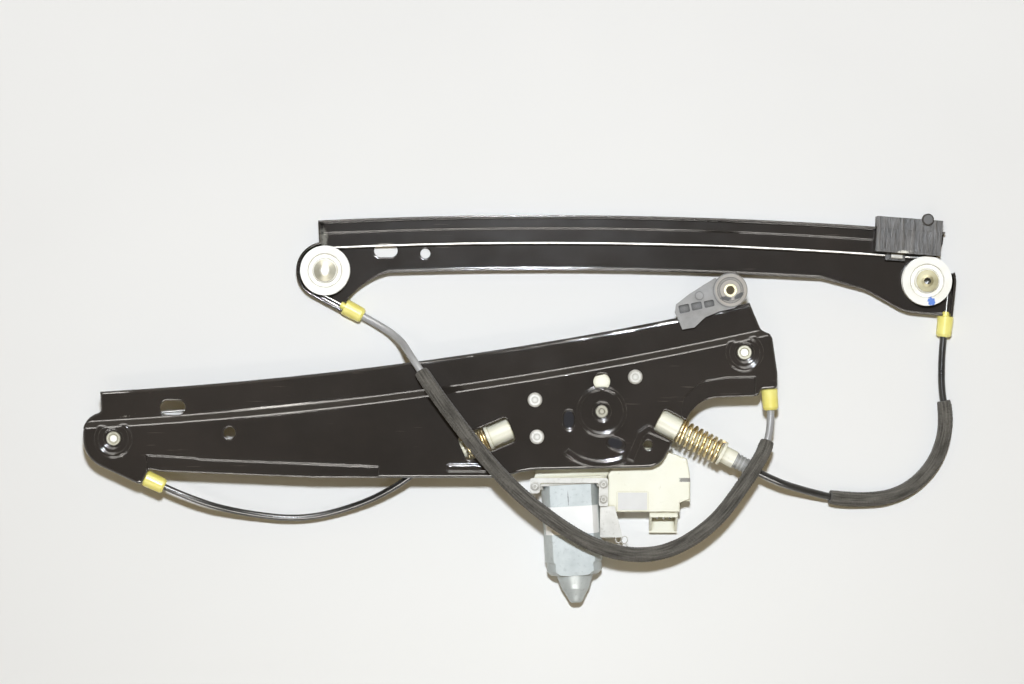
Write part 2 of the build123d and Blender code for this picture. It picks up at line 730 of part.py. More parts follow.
def motor_rivet(centre):
    """Rivet of a motor-rail pulley: flanged under the pulley, formed over above the web."""
    bottom = motor_cable_z - pulley_width / 2 - sliding
    seat = motor_cable_z + pulley_width / 2 + sliding + gauge
    shank = pulley_bore - running
    with BuildPart() as rivet:
        lathe(upright_at(centre), UP, [
            (bottom - 1.4, 0), (bottom - 1.4, pulley_hub - 0.6), (bottom, pulley_hub - 0.6),
            (bottom, shank), (seat + touch, shank), (seat + touch, rivet_head),
            (seat + 1.5, rivet_head - 0.5), (seat + 1.5, rivet_dimple),
            (seat + 0.7, rivet_dimple - 0.8), (seat + 0.7, 0),
        ])
    return rivet.part


# ---------------------------------------------------------------- conduit caps
def end_cap(run, seat):
    """Moulded cap that clips over a seat wall and takes the end of a conduit."""
    near, far = seat - gauge, seat
    socket = seat + cap_length - cap_socket
    conduit = cap_conduit_radius(run)
    with BuildPart() as cap:
        lathe(run.at(0), run.along, [
            (near - cap_lip, cable_radius + cable_gap), (near - cap_lip, cap_neck - 0.6),
            (near, cap_neck), (far + touch, cap_neck),
            (far + touch, cap_radius - 0.5), (far + 0.7, cap_radius),
            (seat + cap_length - 1.6, cap_radius - 0.3),
            (seat + cap_length, cap_radius - 1.4),
            (seat + cap_length, conduit + touch), (socket, conduit + touch),
            (socket, cable_radius + cable_gap),
        ])
    return cap.part


def cap_conduit_radius(run):
    if run is plain_right_run:
        return conduit_b_radius
    return conduit_c_radius if run is motor_left_run else conduit_a_radius


def cap_mouth(run, seat):
    """Station where a conduit ends inside its cap."""
    return seat + cap_length - cap_socket


# ---------------------------------------------------------------- cable runs
def rail_cable(rail, left_run, right_run, left_end, right_end, z):
    """Cable from one cap round both pulleys to the other cap, in one plane."""
    arcs = []
    for run, station in ((left_run, -rail.end), (right_run, rail.end)):
        top = rail.at(station, 0)
        start = atan2(run.out.Y, run.out.X)
        finish = atan2(top.Y - run.centre.Y, top.X - run.centre.X)
        if run is left_run and start < 0:
            start += 2 * pi
        middle = (start + finish) / 2
        bend = run.centre + Vector(cos(middle), sin(middle)) * groove_radius
        arcs.append((run.start, bend, top))
    with BuildPart() as cable:
        with BuildLine(lift(z)) as path:
            first, second = arcs
            Line(left_run.start + left_run.along * left_end, first[0])
            ThreePointArc(*first)
            rail.arc(-rail.end, rail.end, 0)
            ThreePointArc(*reversed(second))
            Line(second[0], right_run.start + right_run.along * right_end)
        with BuildSketch(left_run.plane(left_end)):
            Circle(cable_radius)
        sweep(path=path.wires()[0])
    return cable.part


def pull_cable(run, start, finish):
    """Straight cable from the drum through a tensioner."""
    with BuildPart() as cable:
        with BuildSketch(run.plane(start)):
            Circle(cable_radius)
        extrude(amount=finish - start)
    return cable.part


# ---------------------------------------------------------------- drum and gear
def cable_drum():
    """Drum with a groove for each turn, and a hub that reaches down to the worm wheel."""
    low, high = -drum_height / 2, drum_height / 2
    floor = drum_groove - cable_radius - cable_gap / 2
    land = drum_groove + 0.6
    first = -drum_pitch * (drum_turns - 1) / 2
    profile = [(gear_top - motor_cable_z, spindle_radius + running),
               (high, spindle_radius + running), (high, drum_flange), (high - 1, drum_flange)]
    for turn in reversed(range(drum_turns)):
        middle = first + turn * drum_pitch
        profile += [(middle + drum_pitch / 2 - 0.1, land), (middle, floor),
                    (middle - drum_pitch / 2 + 0.1, land)]
    profile += [(low + 1, drum_flange), (low, drum_flange), (low, drum_hub),
                (gear_top - motor_cable_z, drum_hub)]
    with BuildPart() as drum:
        lathe(upright_at(Vector(*drum_at), motor_cable_z), UP, profile)
    return drum.part


def worm_wheel():
    """Toothed wheel on the drum's spindle, driven by the worm."""
    low = motor_axis_z - wheel_width / 2
    root = wheel_tip - wheel_tooth
    with BuildPart() as wheel:
        with BuildSketch(lift(low)):
            with Locations(drum_at):
                Circle(root)
                with PolarLocations(root, wheel_teeth):
                    Rectangle(2 * wheel_tooth, pi * root / wheel_teeth)
        extrude(amount=wheel_width)
        with BuildSketch(lift(low + 2)):
            with Locations(drum_at):
                Circle(root - 3)
                Circle(drum_hub + 1.5, mode=Mode.SUBTRACT)
        extrude(amount=wheel_width, mode=Mode.SUBTRACT)
        with BuildSketch(lift(gear_floor)):
            with Locations(drum_at):
                Circle(drum_hub + 1)
        prism(gear_floor + touch, gear_top - touch)
        with BuildSketch(lift(gear_floor - 1)):
            with Locations(drum_at):
                Circle(spindle_radius + running)
        prism(gear_floor - 1, motor_cable_z, Mode.SUBTRACT)
    return wheel.part


def drum_spindle():
    """Fixed pin through gear housing, wheel, drum and rail, formed over at the rail."""
    seat = motor_cable_z + drum_height / 2 + sliding + gauge
    with BuildPart() as pin:
        lathe(upright_at(Vector(*drum_at)), UP, [
            (housing_floor, 0), (housing_floor, spindle_radius + 2),
            (housing_floor + 1, spindle_radius + 2), (housing_floor + 1, spindle_radius),
            (seat + touch, spindle_radius), (seat + touch, spindle_head),
            (seat + 1.6, spindle_head - 0.4), (seat + 1.6, 2.2), (seat + 0.9, 1.6),
            (seat + 0.9, 0),
        ])
    return pin.part


# ---------------------------------------------------------------- drum housing
def socket_tube(run, start, finish, radius, top):
    """Length of a tensioner socket, flattened where it runs under the web."""
    with BuildSketch(run.plane(start)) as section:
        Circle(radius)
        with Locations((top - run.z + radius, 0)):
            Rectangle(2 * radius, 3 * radius, mode=Mode.SUBTRACT)
    extrude(section.sketch, amount=finish - start)


def drum_housing():
    """Moulded cover round the drum, with a socket for each tensioner."""
    low = gear_case_high + touch
    with BuildPart() as housing:
        with BuildSketch(lift(low)):
            with Locations(drum_at):
                Circle(drum_case_radius)
            with Locations(*screw_places):
                Circle(screw_pillar)
            make_hull()
        prism(low, drum_case_high)
        socket_tube(right_pull_run, socket_start, right_window_start + window_gap,
                    hidden_socket_radius, drum_case_high)
        socket_tube(right_pull_run, right_window_start + window_gap, right_socket_end,
                    socket_radius, motor_web_z)
        socket_tube(left_pull_run, socket_start, left_window_start + window_gap,
                    hidden_socket_radius, drum_case_high)
        socket_tube(left_pull_run, left_window_start + window_gap, left_socket_end - 2,
                    left_socket_radius - 1.2, motor_web_z)
        socket_tube(left_pull_run, left_socket_end - 2, left_socket_end,
                    left_socket_radius, motor_web_z + motor_step_rise)
        with BuildSketch(lift(low + drum_case_floor)):
            with Locations(drum_at):
                Circle(drum_cavity)
        prism(low + drum_case_floor, drum_case_high, Mode.SUBTRACT)
        with BuildSketch(lift(low)):
            with Locations(drum_at):
                Circle(drum_hub + running)
            with Locations(*screw_places):
                Circle(screw_radius + touch)
        prism(low, drum_case_high, Mode.SUBTRACT)
        for run, end in ((right_pull_run, right_socket_end), (left_pull_run, left_socket_end)):
            with BuildSketch(run.plane(0)):
                Circle(cable_radius + cable_gap + 0.2)
            extrude(amount=end, mode=Mode.SUBTRACT)
            with BuildSketch(run.plane(plunger_start(run) - spring_end_gap)):
                Circle(plunger_radius + running)
            extrude(amount=end, mode=Mode.SUBTRACT)
    return housing.part


def plunger_start(run):
    """Inner end of a plunger, far enough in to stay guided and out of the drum."""
    return right_window_start + 3 if run is right_pull_run else left_window_start + 4


def drum_screws():
    """Three screws that hold the drum housing and the gear case to the rail."""
    with BuildPart() as screws:
        for x, y in screw_places:
            lathe(Vector(x, y), UP, [
                (gear_case_high + 4, 0), (gear_case_high + 4, screw_radius),
                (motor_web_z + touch, screw_radius), (motor_web_z + touch, screw_head),
                (motor_web_z + 1.7, screw_head - 0.3), (motor_web_z + 2.5, screw_head - 1.4),
                (motor_web_z + 2.5, 2.4), (motor_web_z + 1.2, 2.4), (motor_web_z + 1.2, 0),
            ])
    return screws.part


# ---------------------------------------------------------------- motor
motor_along = Vector(cos(radians(motor_tilt)), sin(radians(motor_tilt)))
motor_across = Vector(-motor_along.Y, motor_along.X)
motor_foot = Vector(*drum_at) - motor_across * (wheel_tip + worm_gap + worm_radius)


def flange_screw_reach():
    """Motor axis to a screw, across the flange: its head just clears the can."""
    clear = can_radius + flange_head_gap + flange_head
    return sqrt(clear**2 - flange_screw_rise**2)


def flange_width():
    return 2 * (flange_screw_reach() + flange_edge)


def flange_height():
    return 2 * (motor_axis_z - gear_case_low) + 2


def motor_point(station, across=0.0, z=motor_axis_z):
    """Point beside the motor axis: station from its foot under the drum."""
    flat = motor_foot + motor_along * station + motor_across * across
    return Vector(flat.X, flat.Y, z)


def motor_plane(station):
    """Plane across the motor axis, with its X upward."""
    return Plane(origin=motor_point(station), x_dir=(0, 0, 1),
                 z_dir=motor_along.to_tuple())


def gear_plan(grow):
    """Plan of the gear case, from the drum to the motor's flange."""
    with BuildSketch() as plan:
        with Locations(drum_at):
            Circle(gear_case_radius + grow)
        with Locations(motor_point(-worm_length / 2 - 3).to_tuple()[:2]):
            Circle(worm_case_radius + grow)
        face = motor_point(motor_mouth - flange_depth / 2)
        with Locations(Location((face.X, face.Y, 0), (0, 0, motor_tilt))):
            Rectangle(flange_depth + 2 * grow, flange_width() + 2 * grow)
        make_hull()
    return plan.sketch


def gear_housing():
    """Closed case round the worm and its wheel, with a flange for the motor."""
    with BuildPart() as housing:
        with BuildSketch(lift(gear_case_low)):
            add(gear_plan(0.0))
        prism(gear_case_low, gear_case_high)
        with BuildSketch(motor_plane(motor_mouth - flange_depth)):
            RectangleRounded(flange_height(), flange_width(), flange_edge)
        extrude(amount=flange_depth)
        with BuildSketch(lift(gear_floor - 0.3)):
            with Locations(drum_at):
                Circle(gear_cavity)
        prism(gear_floor - 0.3, gear_case_high, Mode.SUBTRACT)
        with BuildSketch(lift(housing_floor)):
            with Locations(drum_at):
                Circle(spindle_radius + 2 + touch)
        prism(housing_floor, gear_case_high, Mode.SUBTRACT)
        for start, radius in ((-worm_length / 2 - 0.5, worm_radius + 0.5),
                              (-worm_length / 2 - 4, shaft_radius + running)):
            with BuildSketch(motor_plane(start)):
                Circle(radius)
            extrude(amount=motor_mouth + 1 - start, mode=Mode.SUBTRACT)
    return housing.part


def box_side():
    """X of the electronics box's side, beside the end of the motor's flange."""
    return motor_point(motor_mouth, flange_width() / 2).X + box_gap


def bracket_ends():
    """Left and right ends of the bracket, and its back edge."""
    left = motor_point(motor_mouth, -flange_width() / 2)
    right = motor_point(motor_mouth, flange_width() / 2)
    back = motor_point(motor_mouth).Y + bracket_back
    return left.X - bracket_left_over, right.X + bracket_right_over, back


def bracket_low():
    return motor_axis_z + flange_height() / 2 + touch


def ear_screw_places():
    left, right, back = bracket_ends()
    places = [(left + left_ear_width / 2, back - left_ear_screw)]
    return places + [(right - right_ear_width / 2, back - down) for down in right_ear_screws]


def motor_bracket():
    """Steel strip over the motor's flange, with an ear each side for its screws."""
    left, right, back = bracket_ends()
    with BuildPart() as plate:
        with BuildSketch(lift(bracket_low())) as plan:
            for start, width, depth in ((left, right - left, bracket_depth),
                                        (left, left_ear_width, left_ear_depth),
                                        (right - right_ear_width, right_ear_width,
                                         right_ear_depth)):
                with Locations((start + width / 2, back - depth / 2)):
                    Rectangle(width, depth)
            fillet(plan.vertices(), bracket_depth / 2 - touch)
            with Locations(*ear_screw_places()):
                Circle(ear_shank + touch, mode=Mode.SUBTRACT)
        extrude(amount=bracket_plate)
    return plate.part


def bracket_screws():
    top = bracket_low() + bracket_plate + touch
    with BuildPart() as screws:
        for x, y in ear_screw_places():
            lathe(Vector(x, y), UP, [
                (bracket_low() + touch, 0), (bracket_low() + touch, ear_shank),
                (top, ear_shank), (top, ear_head), (top + 1.0, ear_head),
                (top + 1.7, ear_head - 0.9), (top + 1.7, 1.1), (top + 0.8, 1.1), (top + 0.8, 0),
            ])
    return screws.part


def shield():
    """Small plate that lies over the edge of the electronics box beside the motor."""
    left = bracket_ends()[1] - right_ear_width + 1.0
    back = bracket_ends()[2] - right_ear_depth - touch
    with BuildPart() as plate:
        with BuildSketch(lift(box_high + touch)) as plan:
            with BuildLine():
                Polyline((left, back), (left + shield_front - shield_slant, back),
                         (left + shield_front, back - shield_length),
                         (left, back - shield_length), close=True)
            make_face()
            fillet(plan.vertices(), 0.6)
        extrude(amount=shield_plate)
    return plate.part


def motor_flange():
    """Steel plate that closes the can and bolts it to the gear case."""
    with BuildPart() as plate:
        with BuildSketch(motor_plane(motor_mouth + touch)):
            RectangleRounded(flange_height(), flange_width(), flange_edge)
            Circle(shaft_radius + running + 0.04, mode=Mode.SUBTRACT)
            with Locations(*flange_screws()):
                Circle(flange_screw + touch, mode=Mode.SUBTRACT)
        extrude(amount=flange_plate)
    return plate.part


def flange_screws():
    """Places of the motor's screws on its flange: height and position across."""
    across = flange_screw_reach()
    return [(rise, side * across) for rise in (-flange_screw_rise, flange_screw_rise)
            for side in (-1, 1)]


def motor_screws():
    """Screws through the motor's flange into the gear case."""
    start = motor_mouth + touch + flange_plate
    with BuildPart() as screws:
        with BuildSketch(motor_plane(start + touch)):
            with Locations(*flange_screws()):
                Circle(flange_head)
        extrude(amount=flange_head_high)
        with BuildSketch(motor_plane(start + touch)):
            with Locations(*flange_screws()):
                Circle(flange_screw)
        extrude(amount=-flange_plate - touch)
    return screws.part


def motor_can():
    """Drawn steel can with two flats, stepped down to a nose that holds the bearing."""
    start = motor_mouth + 2 * touch + flange_plate
    drawn = can_length + start
    wall = can_wall
    inner = can_radius - wall
    with BuildPart() as can:
        lathe(motor_point(0), motor_along, [
            (start, 0), (start, can_radius), (drawn - 8, can_radius),
            (drawn - 6.5, can_radius - 0.9), (drawn - 1, can_radius - 0.9),
            (drawn + 1.5, can_radius - 3.2), (drawn + 2.2, 12.6), (drawn + 4.5, 11.9),
            (can_nose - 10, 9.6), (can_nose - 5, 6.6), (can_nose - 1.5, nose_radius),
            (can_nose, 3.6), (can_nose, 0),
        ])
        with BuildSketch(motor_plane(start - 1)):
            Rectangle(2 * can_flat, 3 * can_radius)
        extrude(amount=can_nose, mode=Mode.INTERSECT)
        with BuildSketch(motor_plane(start - 1)):
            Circle(inner)
            Rectangle(2 * (can_flat - wall), 3 * can_radius, mode=Mode.INTERSECT)
        extrude(amount=drawn - start - 4, mode=Mode.SUBTRACT)
        with BuildSketch(motor_plane(start)):
            Circle(shaft_radius + running)
        extrude(amount=drawn + 5 - start, mode=Mode.SUBTRACT)
    return can.part


def motor_magnets():
    """Two arc magnets glued inside the round sides of the can."""
    inner = can_radius - can_wall
    with BuildPart() as magnets:
        with BuildSketch(motor_plane(60)):
            Circle(inner - touch)
            Circle(inner - touch - magnet_thickness, mode=Mode.SUBTRACT)
            Rectangle(0.9 * inner, 3 * inner, mode=Mode.INTERSECT)
        extrude(amount=40)
    return magnets.part


def armature():
    with BuildPart() as rotor:
        lathe(motor_point(0), motor_along, [
            (62, shaft_radius + touch), (62, 9.0), (66, armature_radius),
            (94, armature_radius), (98, 9.0), (98, shaft_radius + touch),
        ])
    return rotor.part


def commutator():
    with BuildPart() as ring:
        lathe(motor_point(0), motor_along, [
            (54, shaft_radius + touch), (54, 7.0), (60, 7.0), (61, 8.0), (61.5, 8.0),
            (61.5, shaft_radius + touch),
        ])
    return ring.part


def worm_shaft():
    """Motor shaft with the worm cut on its inner end."""
    root = worm_radius - 1.1
    half = worm_length / 2
    threads = 4
    pitch = worm_length / threads
    profile = [(-half - 3.6, 0), (-half - 3.6, shaft_radius), (-half, shaft_radius)]
    for turn in range(threads):
        low = -half + turn * pitch
        profile += [(low + 0.1, root), (low + 1.6, worm_radius), (low + pitch - 1.6, worm_radius)]
    profile += [(half, root), (half, shaft_radius), (112, shaft_radius), (112, 0)]
    with BuildPart() as shaft:
        lathe(motor_point(0), motor_along, profile)
    return shaft.part


# ---------------------------------------------------------------- electronics
def electronics_housing():
    """Moulded box for the motor's electronics, with its connector shroud."""
    plug_length = plug_top - plug_mouth
    plug_middle = (plug_low + plug_high) / 2
    side = box_side()
    with BuildPart() as box:
        with BuildSketch(lift(box_low)) as plan:
            with BuildLine():
                Polyline((side, box_mouth), (side, box_back), *box_corners, close=True)
            make_face()
            add(gear_plan(touch * 2), mode=Mode.SUBTRACT)
        prism(box_low, box_high)
        with BuildSketch(lift(plug_low)):
            with Locations((plug_centre, plug_top - plug_length / 2)):
                Rectangle(plug_width, plug_length)
        prism(plug_low, plug_high)
        fillet(box.faces().sort_by(Axis.Z)[-1].edges(), box_rounding)
        with Locations((plug_centre, plug_mouth + plug_depth / 2, plug_middle)):
            Box(plug_width - 2 * plug_wall, plug_depth, plug_high - plug_low - 2 * plug_wall,
                mode=Mode.SUBTRACT)
        # the shroud's mouth is cut on a slant, so that its lower wall shows
        with BuildSketch(Plane.YZ.offset(plug_centre)):
            with BuildLine():
                Polyline((plug_mouth - 1, plug_low + plug_wall), (plug_mouth - 1, plug_high + 1),
                         (plug_mouth + plug_scarf, plug_high + 1),
                         (plug_mouth + plug_scarf, plug_high - plug_wall),
                         (plug_mouth + 1, plug_low + plug_wall), close=True)
            make_face()
        extrude(amount=plug_width, both=True, mode=Mode.SUBTRACT)
        with Locations((*label_pad_at, box_high)):
            Box(*label_pad_size, 0.8)
        lug_middle = (lug_low + lug_high) / 2
        with Locations((*lug_at, lug_middle)):
            Box(*lug_size, lug_high - lug_low)
        with Locations((lug_at[0] + 1, lug_at[1] + lug_size[1] * 0.34, lug_high)):
            Box(lug_size[0], 1.8, 3.0, mode=Mode.SUBTRACT)
    return box.part


def connector_pins():
    """Blades in the connector, in two rows of three."""
    plug_middle = (plug_low + plug_high) / 2
    start = plug_mouth + plug_depth - touch
    with BuildPart() as pins:
        with Locations((plug_centre, start - pin_length / 2, plug_middle)):
            with GridLocations(pin_pitch, 0, 3, 1):
                for row in (-1, 1):
                    with Locations((0, 0, row * pin_pitch / 2)):
                        Box(pin_size, pin_length, pin_size)
    return pins.part


# ---------------------------------------------------------------- tensioners
def tensioner(run):
    """Flange, flange radius, ferrule station and conduit radius of one tensioner."""
    if run is right_pull_run:
        return right_flange, right_flange_radius, right_ferrule, conduit_b_radius
    return left_flange, left_flange_radius, left_ferrule, conduit_c_radius


def plunger(run):
    """Sliding end of a tensioner: shank in the socket, flange for the spring, body."""
    flange, flange_radius, ferrule, _ = tensioner(run)
    bore = cable_radius + cable_gap
    with BuildPart() as body:
        lathe(run.at(0), run.along, [
            (plunger_start(run) + plunger_travel, bore),
            (plunger_start(run) + plunger_travel, plunger_radius),
            (flange, plunger_radius), (flange, flange_radius),
            (flange + 2, flange_radius), (flange + 2, min(plunger_body, flange_radius)),
            (ferrule, min(plunger_body, flange_radius)), (ferrule, bore),
        ])
    return body.part


def ferrule(run):
    """Ribbed rubber end that grips the conduit."""
    _, _, start, conduit = tensioner(run)
    floor = start + conduit_entry - cable_gap
    steps = 5
    length = ferrule_length / (2 * steps)
    profile = [(start + touch, cable_radius + cable_gap), (start + touch, ferrule_radius)]
    for rib in range(steps):
        here = start + (2 * rib + 1) * length
        profile += [(here, ferrule_radius), (here, ferrule_radius - 0.6),
                    (here + length, ferrule_radius - 0.6)]
        if rib < steps - 1:
            profile += [(here + length, ferrule_radius)]
    end = start + ferrule_length
    profile += [(end, conduit + cable_gap), (floor, conduit + cable_gap),
                (floor, cable_radius + cable_gap)]
    with BuildPart() as grip:
        lathe(run.at(0), run.along, profile)
    return grip.part


def spring(run, socket_end, outer):
    """Compression spring as a corrugated sleeve, one ridge for each coil."""
    flange = tensioner(run)[0]
    start = socket_end + spring_end_gap / 2
    length = flange - spring_end_gap / 2 - start
    pitch = length / spring_turns
    profile = [(start, outer - 2 * spring_wire), (start, outer - spring_wire)]
    for turn in range(spring_turns):
        profile += [(start + (turn + 0.5) * pitch, outer)]
        if turn < spring_turns - 1:
            profile += [(start + (turn + 1) * pitch, outer - spring_wire)]
    profile += [(start + length, outer - spring_wire), (start + length, outer - 2 * spring_wire)]
    with BuildPart() as sleeve:
        lathe(run.at(0), run.along, profile)
    return sleeve.part


# ---------------------------------------------------------------- carriers
def plain_carrier():
    """Moulded shoe that straddles the plain rail's guide flange."""
    first, last = plain_shoe
    nipple = first + nipple_setback
    flange_in = plain_top - gauge - sliding
    with BuildPart() as shoe:
        with BuildSketch(lift(plain_cable_z - 1.9)):
            plain.strip(first, last, plain_block_inner, plain_block_outer)
        prism(plain_cable_z - 1.9, plain_block_high)
        with BuildSketch(lift(plain_leg_low)):
            plain.strip(first, last, plain_top + sliding, plain_block_outer)
        prism(plain_leg_low, plain_block_high)
        with BuildSketch(lift(plain_leg_low)):
            plain.strip(first - 1, last + 1, flange_in, plain_top + sliding)
        prism(plain_leg_low, plain_slot_z, Mode.SUBTRACT)
        with BuildSketch(lift(plain_leg_low)):
            plain.strip(first - 1, last + 1, plain_block_inner - 1, flange_in)
        prism(plain_leg_low, gauge + plain_step_rise + sliding, Mode.SUBTRACT)
        with BuildSketch(lift(plain_cable_z - 4.1)):
            plain.strip(nipple - 4, nipple + nipple_length + 2, -3.2, plain_block_inner + 0.5)
        prism(plain_cable_z - 4.1, plain_cable_z + 1.5)
        with BuildSketch(lift(plain_cable_z - nipple_radius - touch)):
            plain.strip(nipple - 0.1, nipple + nipple_length + 0.1, -nipple_radius - 0.1,
                        nipple_radius + 0.1)
        prism(plain_cable_z - nipple_radius - touch, plain_cable_z + nipple_radius + 2,
              Mode.SUBTRACT)
        with BuildSketch(lift(plain_cable_z)):
            plain.strip(first - 1, last + 1, -nipple_bore, nipple_bore)
        extrude(amount=nipple_bore, mode=Mode.SUBTRACT, both=True)
        ribs = 14
        pitch = (last - first - 6) / ribs
        for rib in range(ribs):
            with BuildSketch(lift(plain_block_high - 0.7)):
                plain.strip(first + 3 + rib * pitch, first + 3 + (rib + 0.45) * pitch,
                            plain_block_inner + 2, plain_top - 1)
            prism(plain_block_high - 0.7, plain_block_high + 1, Mode.SUBTRACT)
    return shoe.part


def plain_knob():
    with BuildPart() as knob:
        lathe(Vector(*knob_at), UP, [
            (plain_block_high, 0), (plain_block_high, knob_radius),
            (knob_high - 1, knob_radius), (knob_high, knob_radius - 1), (knob_high, 0),
        ])
    return knob.part


def plain_nipple():
    """Crimped end of the cable, held in the pocket of the plain carrier."""
    start = plain_shoe[0] + nipple_setback
    return crimp(plain, start, plain_cable_z, nipple_radius, nipple_length)


def crimp(rail, start, z, radius, length):
    """Tube round the cable line, with running space for the cable's next stretch."""
    here = rail.at(start, 0, z)
    ahead = (rail.at(start + length, 0, z) - here).normalized()
    with BuildPart() as tube:
        lathe(here, ahead, [(0.05, nipple_bore), (0.05, radius), (length - 0.05, radius),
                            (length - 0.05, nipple_bore)])
    return tube.part


def motor_carrier():
    """Cast carrier: a shoe round the motor rail's guide flange and the arm for the glass."""
    first, last = motor_shoe
    flange_out = motor_top + sliding
    flange_in = motor_top - gauge - sliding
    inner = -motor_block_inner
    nipple = (first + last) / 2 - insert_length / 2
    with BuildPart() as arm:
        with BuildSketch(lift(motor_bridge_low)):
            motor.strip(first, last, flange_out, motor_leg_outer)
        prism(motor_bridge_low, arm_high)
        with BuildSketch(lift(motor_bridge_low)):
            motor.strip(first, last, inner, motor_leg_outer)
        prism(motor_bridge_low, motor_bridge_high)
        with BuildSketch(lift(motor_bridge_low)):
            motor.strip(first, last, inner, flange_in)
        prism(motor_bridge_low, motor_block_high)
        with BuildSketch(lift(arm_low)) as plan:
            with BuildLine():
                Polyline(*arm_corners, close=True)
            make_face()
            with Locations(arm_head_at):
                Circle(arm_head_radius)
        prism(arm_low, arm_high)
        with BuildSketch(lift(motor_web_z)):
            with Locations(arm_head_at):
                Circle(insert_radius + 2.6)
        prism(motor_web_z + motor_step_rise - 4, arm_high)
        # cable and nipple channel, open below
        with BuildSketch(lift(motor_bridge_low - 1)):
            motor.strip(first - 1, last + 1, -nipple_bore, nipple_bore)
        prism(motor_bridge_low - 1, motor_cable_z + nipple_bore, Mode.SUBTRACT)
        reach = nipple_radius + 0.2
        with BuildSketch(lift(motor_bridge_low - 1)):
            motor.strip(nipple - 0.2, nipple + insert_length + 0.2, -reach, reach)
        prism(motor_bridge_low - 1, motor_cable_z + reach, Mode.SUBTRACT)
        # clearance for the rail's lower step
        with BuildSketch(lift(motor_block_high - 6)):
            motor.strip(first - 1, last + 1, inner - 1,
                        -motor_step + gauge + sliding + 2.2)
        prism(motor_web_z - gauge - sliding, motor_block_high + 1, Mode.SUBTRACT)
        with BuildSketch(lift(motor_web_z - 10)):
            with Locations(arm_head_at):
                Circle(insert_radius + touch)
        prism(motor_web_z - 10, arm_high + 1, Mode.SUBTRACT)
        for corner, width, height, tilt in arm_pockets():
            with BuildSketch(lift(arm_high - 2.4)):
                with Locations(Location(corner + (0,), (0, 0, tilt))):
                    RectangleRounded(width, height, 1)
            prism(arm_high - 2.4, arm_high + 1, Mode.SUBTRACT)
        with BuildSketch(lift(arm_high - 0.2)):
            with Locations(arm_boss_at):
                Circle(arm_boss_radius)
        prism(arm_high - 0.2, arm_high + 1.2)
        with BuildSketch(lift(arm_high - 0.2)):
            with Locations(arm_head_at):
                Circle(arm_head_radius - 0.6)
                Circle(arm_head_radius - 2.8, mode=Mode.SUBTRACT)
        prism(arm_high - 0.2, arm_high + 0.9)
    return arm.part


def arm_pockets():
    """Centre, size and turn of the weight-saving pockets in the arm."""
    return [((113.5, 69.8), 7.4, 5.6, 12.0), ((122.0, 71.6), 7.4, 5.2, 12.0),
            ((130.6, 73.2), 7.0, 4.6, 12.0)]


def glass_insert():
    """Brass insert that takes the bolt of the glass clamp."""
    with BuildPart() as insert:
        lathe(Vector(*arm_head_at), UP, [
            (arm_high + 1.2 - insert_length, insert_bore),
            (arm_high + 1.2 - insert_length, insert_radius),
            (arm_high + 1.2, insert_radius), (arm_high + 1.2, insert_bore),
        ])
    return insert.part


def motor_nipple():
    start = (motor_shoe[0] + motor_shoe[1]) / 2 - insert_length / 2
    return crimp(motor, start, motor_cable_z, nipple_radius, insert_length)


# ---------------------------------------------------------------- conduits
def cord_radii(points):
    """Largest bend at each corner that leaves a tenth of each run straight."""
    radii = []
    for before, here, after in zip(points, points[1:], points[2:]):
        first, second = here - before, after - here
        half = radians(first.get_angle(second)) / 2
        radii.append(0.45 * min(first.length, second.length) / tan(half))
    return radii


def cord(label, points, radius, bore=0.0, radii=None):
    """Round cord or tube along its corners, each turned at the largest bend."""
    radii = radii or cord_radii(points)
    with BuildPart() as tube:
        with BuildLine() as path:
            FilletPolyline(*points, radius=radii)
        start = path.wires()[0]
        with BuildSketch(Plane(origin=start @ 0, z_dir=(start % 0).to_tuple())):
            Circle(radius)
            if bore:
                Circle(bore, mode=Mode.SUBTRACT)
        sweep(path=start)
    bends = ", ".join(f"{bend:.1f}" for bend in radii)
    print(label, "length", round(start.length, 1), "volume", round(tube.part.volume, 1),
          "radii", bends)
    return tube.part


def conduit_points(start_run, start, first, between, finish_run, finish, last):
    """Corners of a conduit between two straight ends."""
    inner = [Vector(*point) for point in between]
    return [start_run.at(start), start_run.at(first), *inner, finish_run.at(last),
            finish_run.at(finish)]


def sleeve_points(points, first, last):
    """Corners of a sleeve over part of a conduit, from mid-run to mid-run."""
    head = points[first - 1] + (points[first] - points[first - 1]) * sleeve_start_share
    tail = (points[last] + points[last + 1]) * 0.5
    return [head, *points[first:last + 1], tail]


def sleeve(label, points, first, last, conduit):
    bore = conduit + sleeve_wall_gap
    return cord(label, sleeve_points(points, first, last), sleeve_radius, bore,
                cord_radii(points)[first - 1:last])


# ---------------------------------------------------------------- build
plain_left_cap_end = cap_mouth(plain_left_run, plain_left_seat)
plain_right_cap_end = cap_mouth(plain_right_run, plain_right_seat)
motor_left_cap_end = cap_mouth(motor_left_run, motor_left_seat)
motor_right_cap_end = cap_mouth(motor_right_run, motor_right_seat)

conduit_a = conduit_points(plain_left_run, plain_left_cap_end, conduit_a_ends[0],
                           conduit_a_route, motor_right_run, motor_right_cap_end,
                           conduit_a_ends[1])
conduit_b = conduit_points(plain_right_run, plain_right_cap_end, conduit_b_ends[0],
                           conduit_b_route, right_pull_run,
                           right_ferrule + conduit_entry, conduit_b_ends[1])
conduit_c = conduit_points(motor_left_run, motor_left_cap_end, conduit_c_ends[0],
                           conduit_c_route, left_pull_run,
                           left_ferrule + conduit_entry, conduit_c_ends[1])

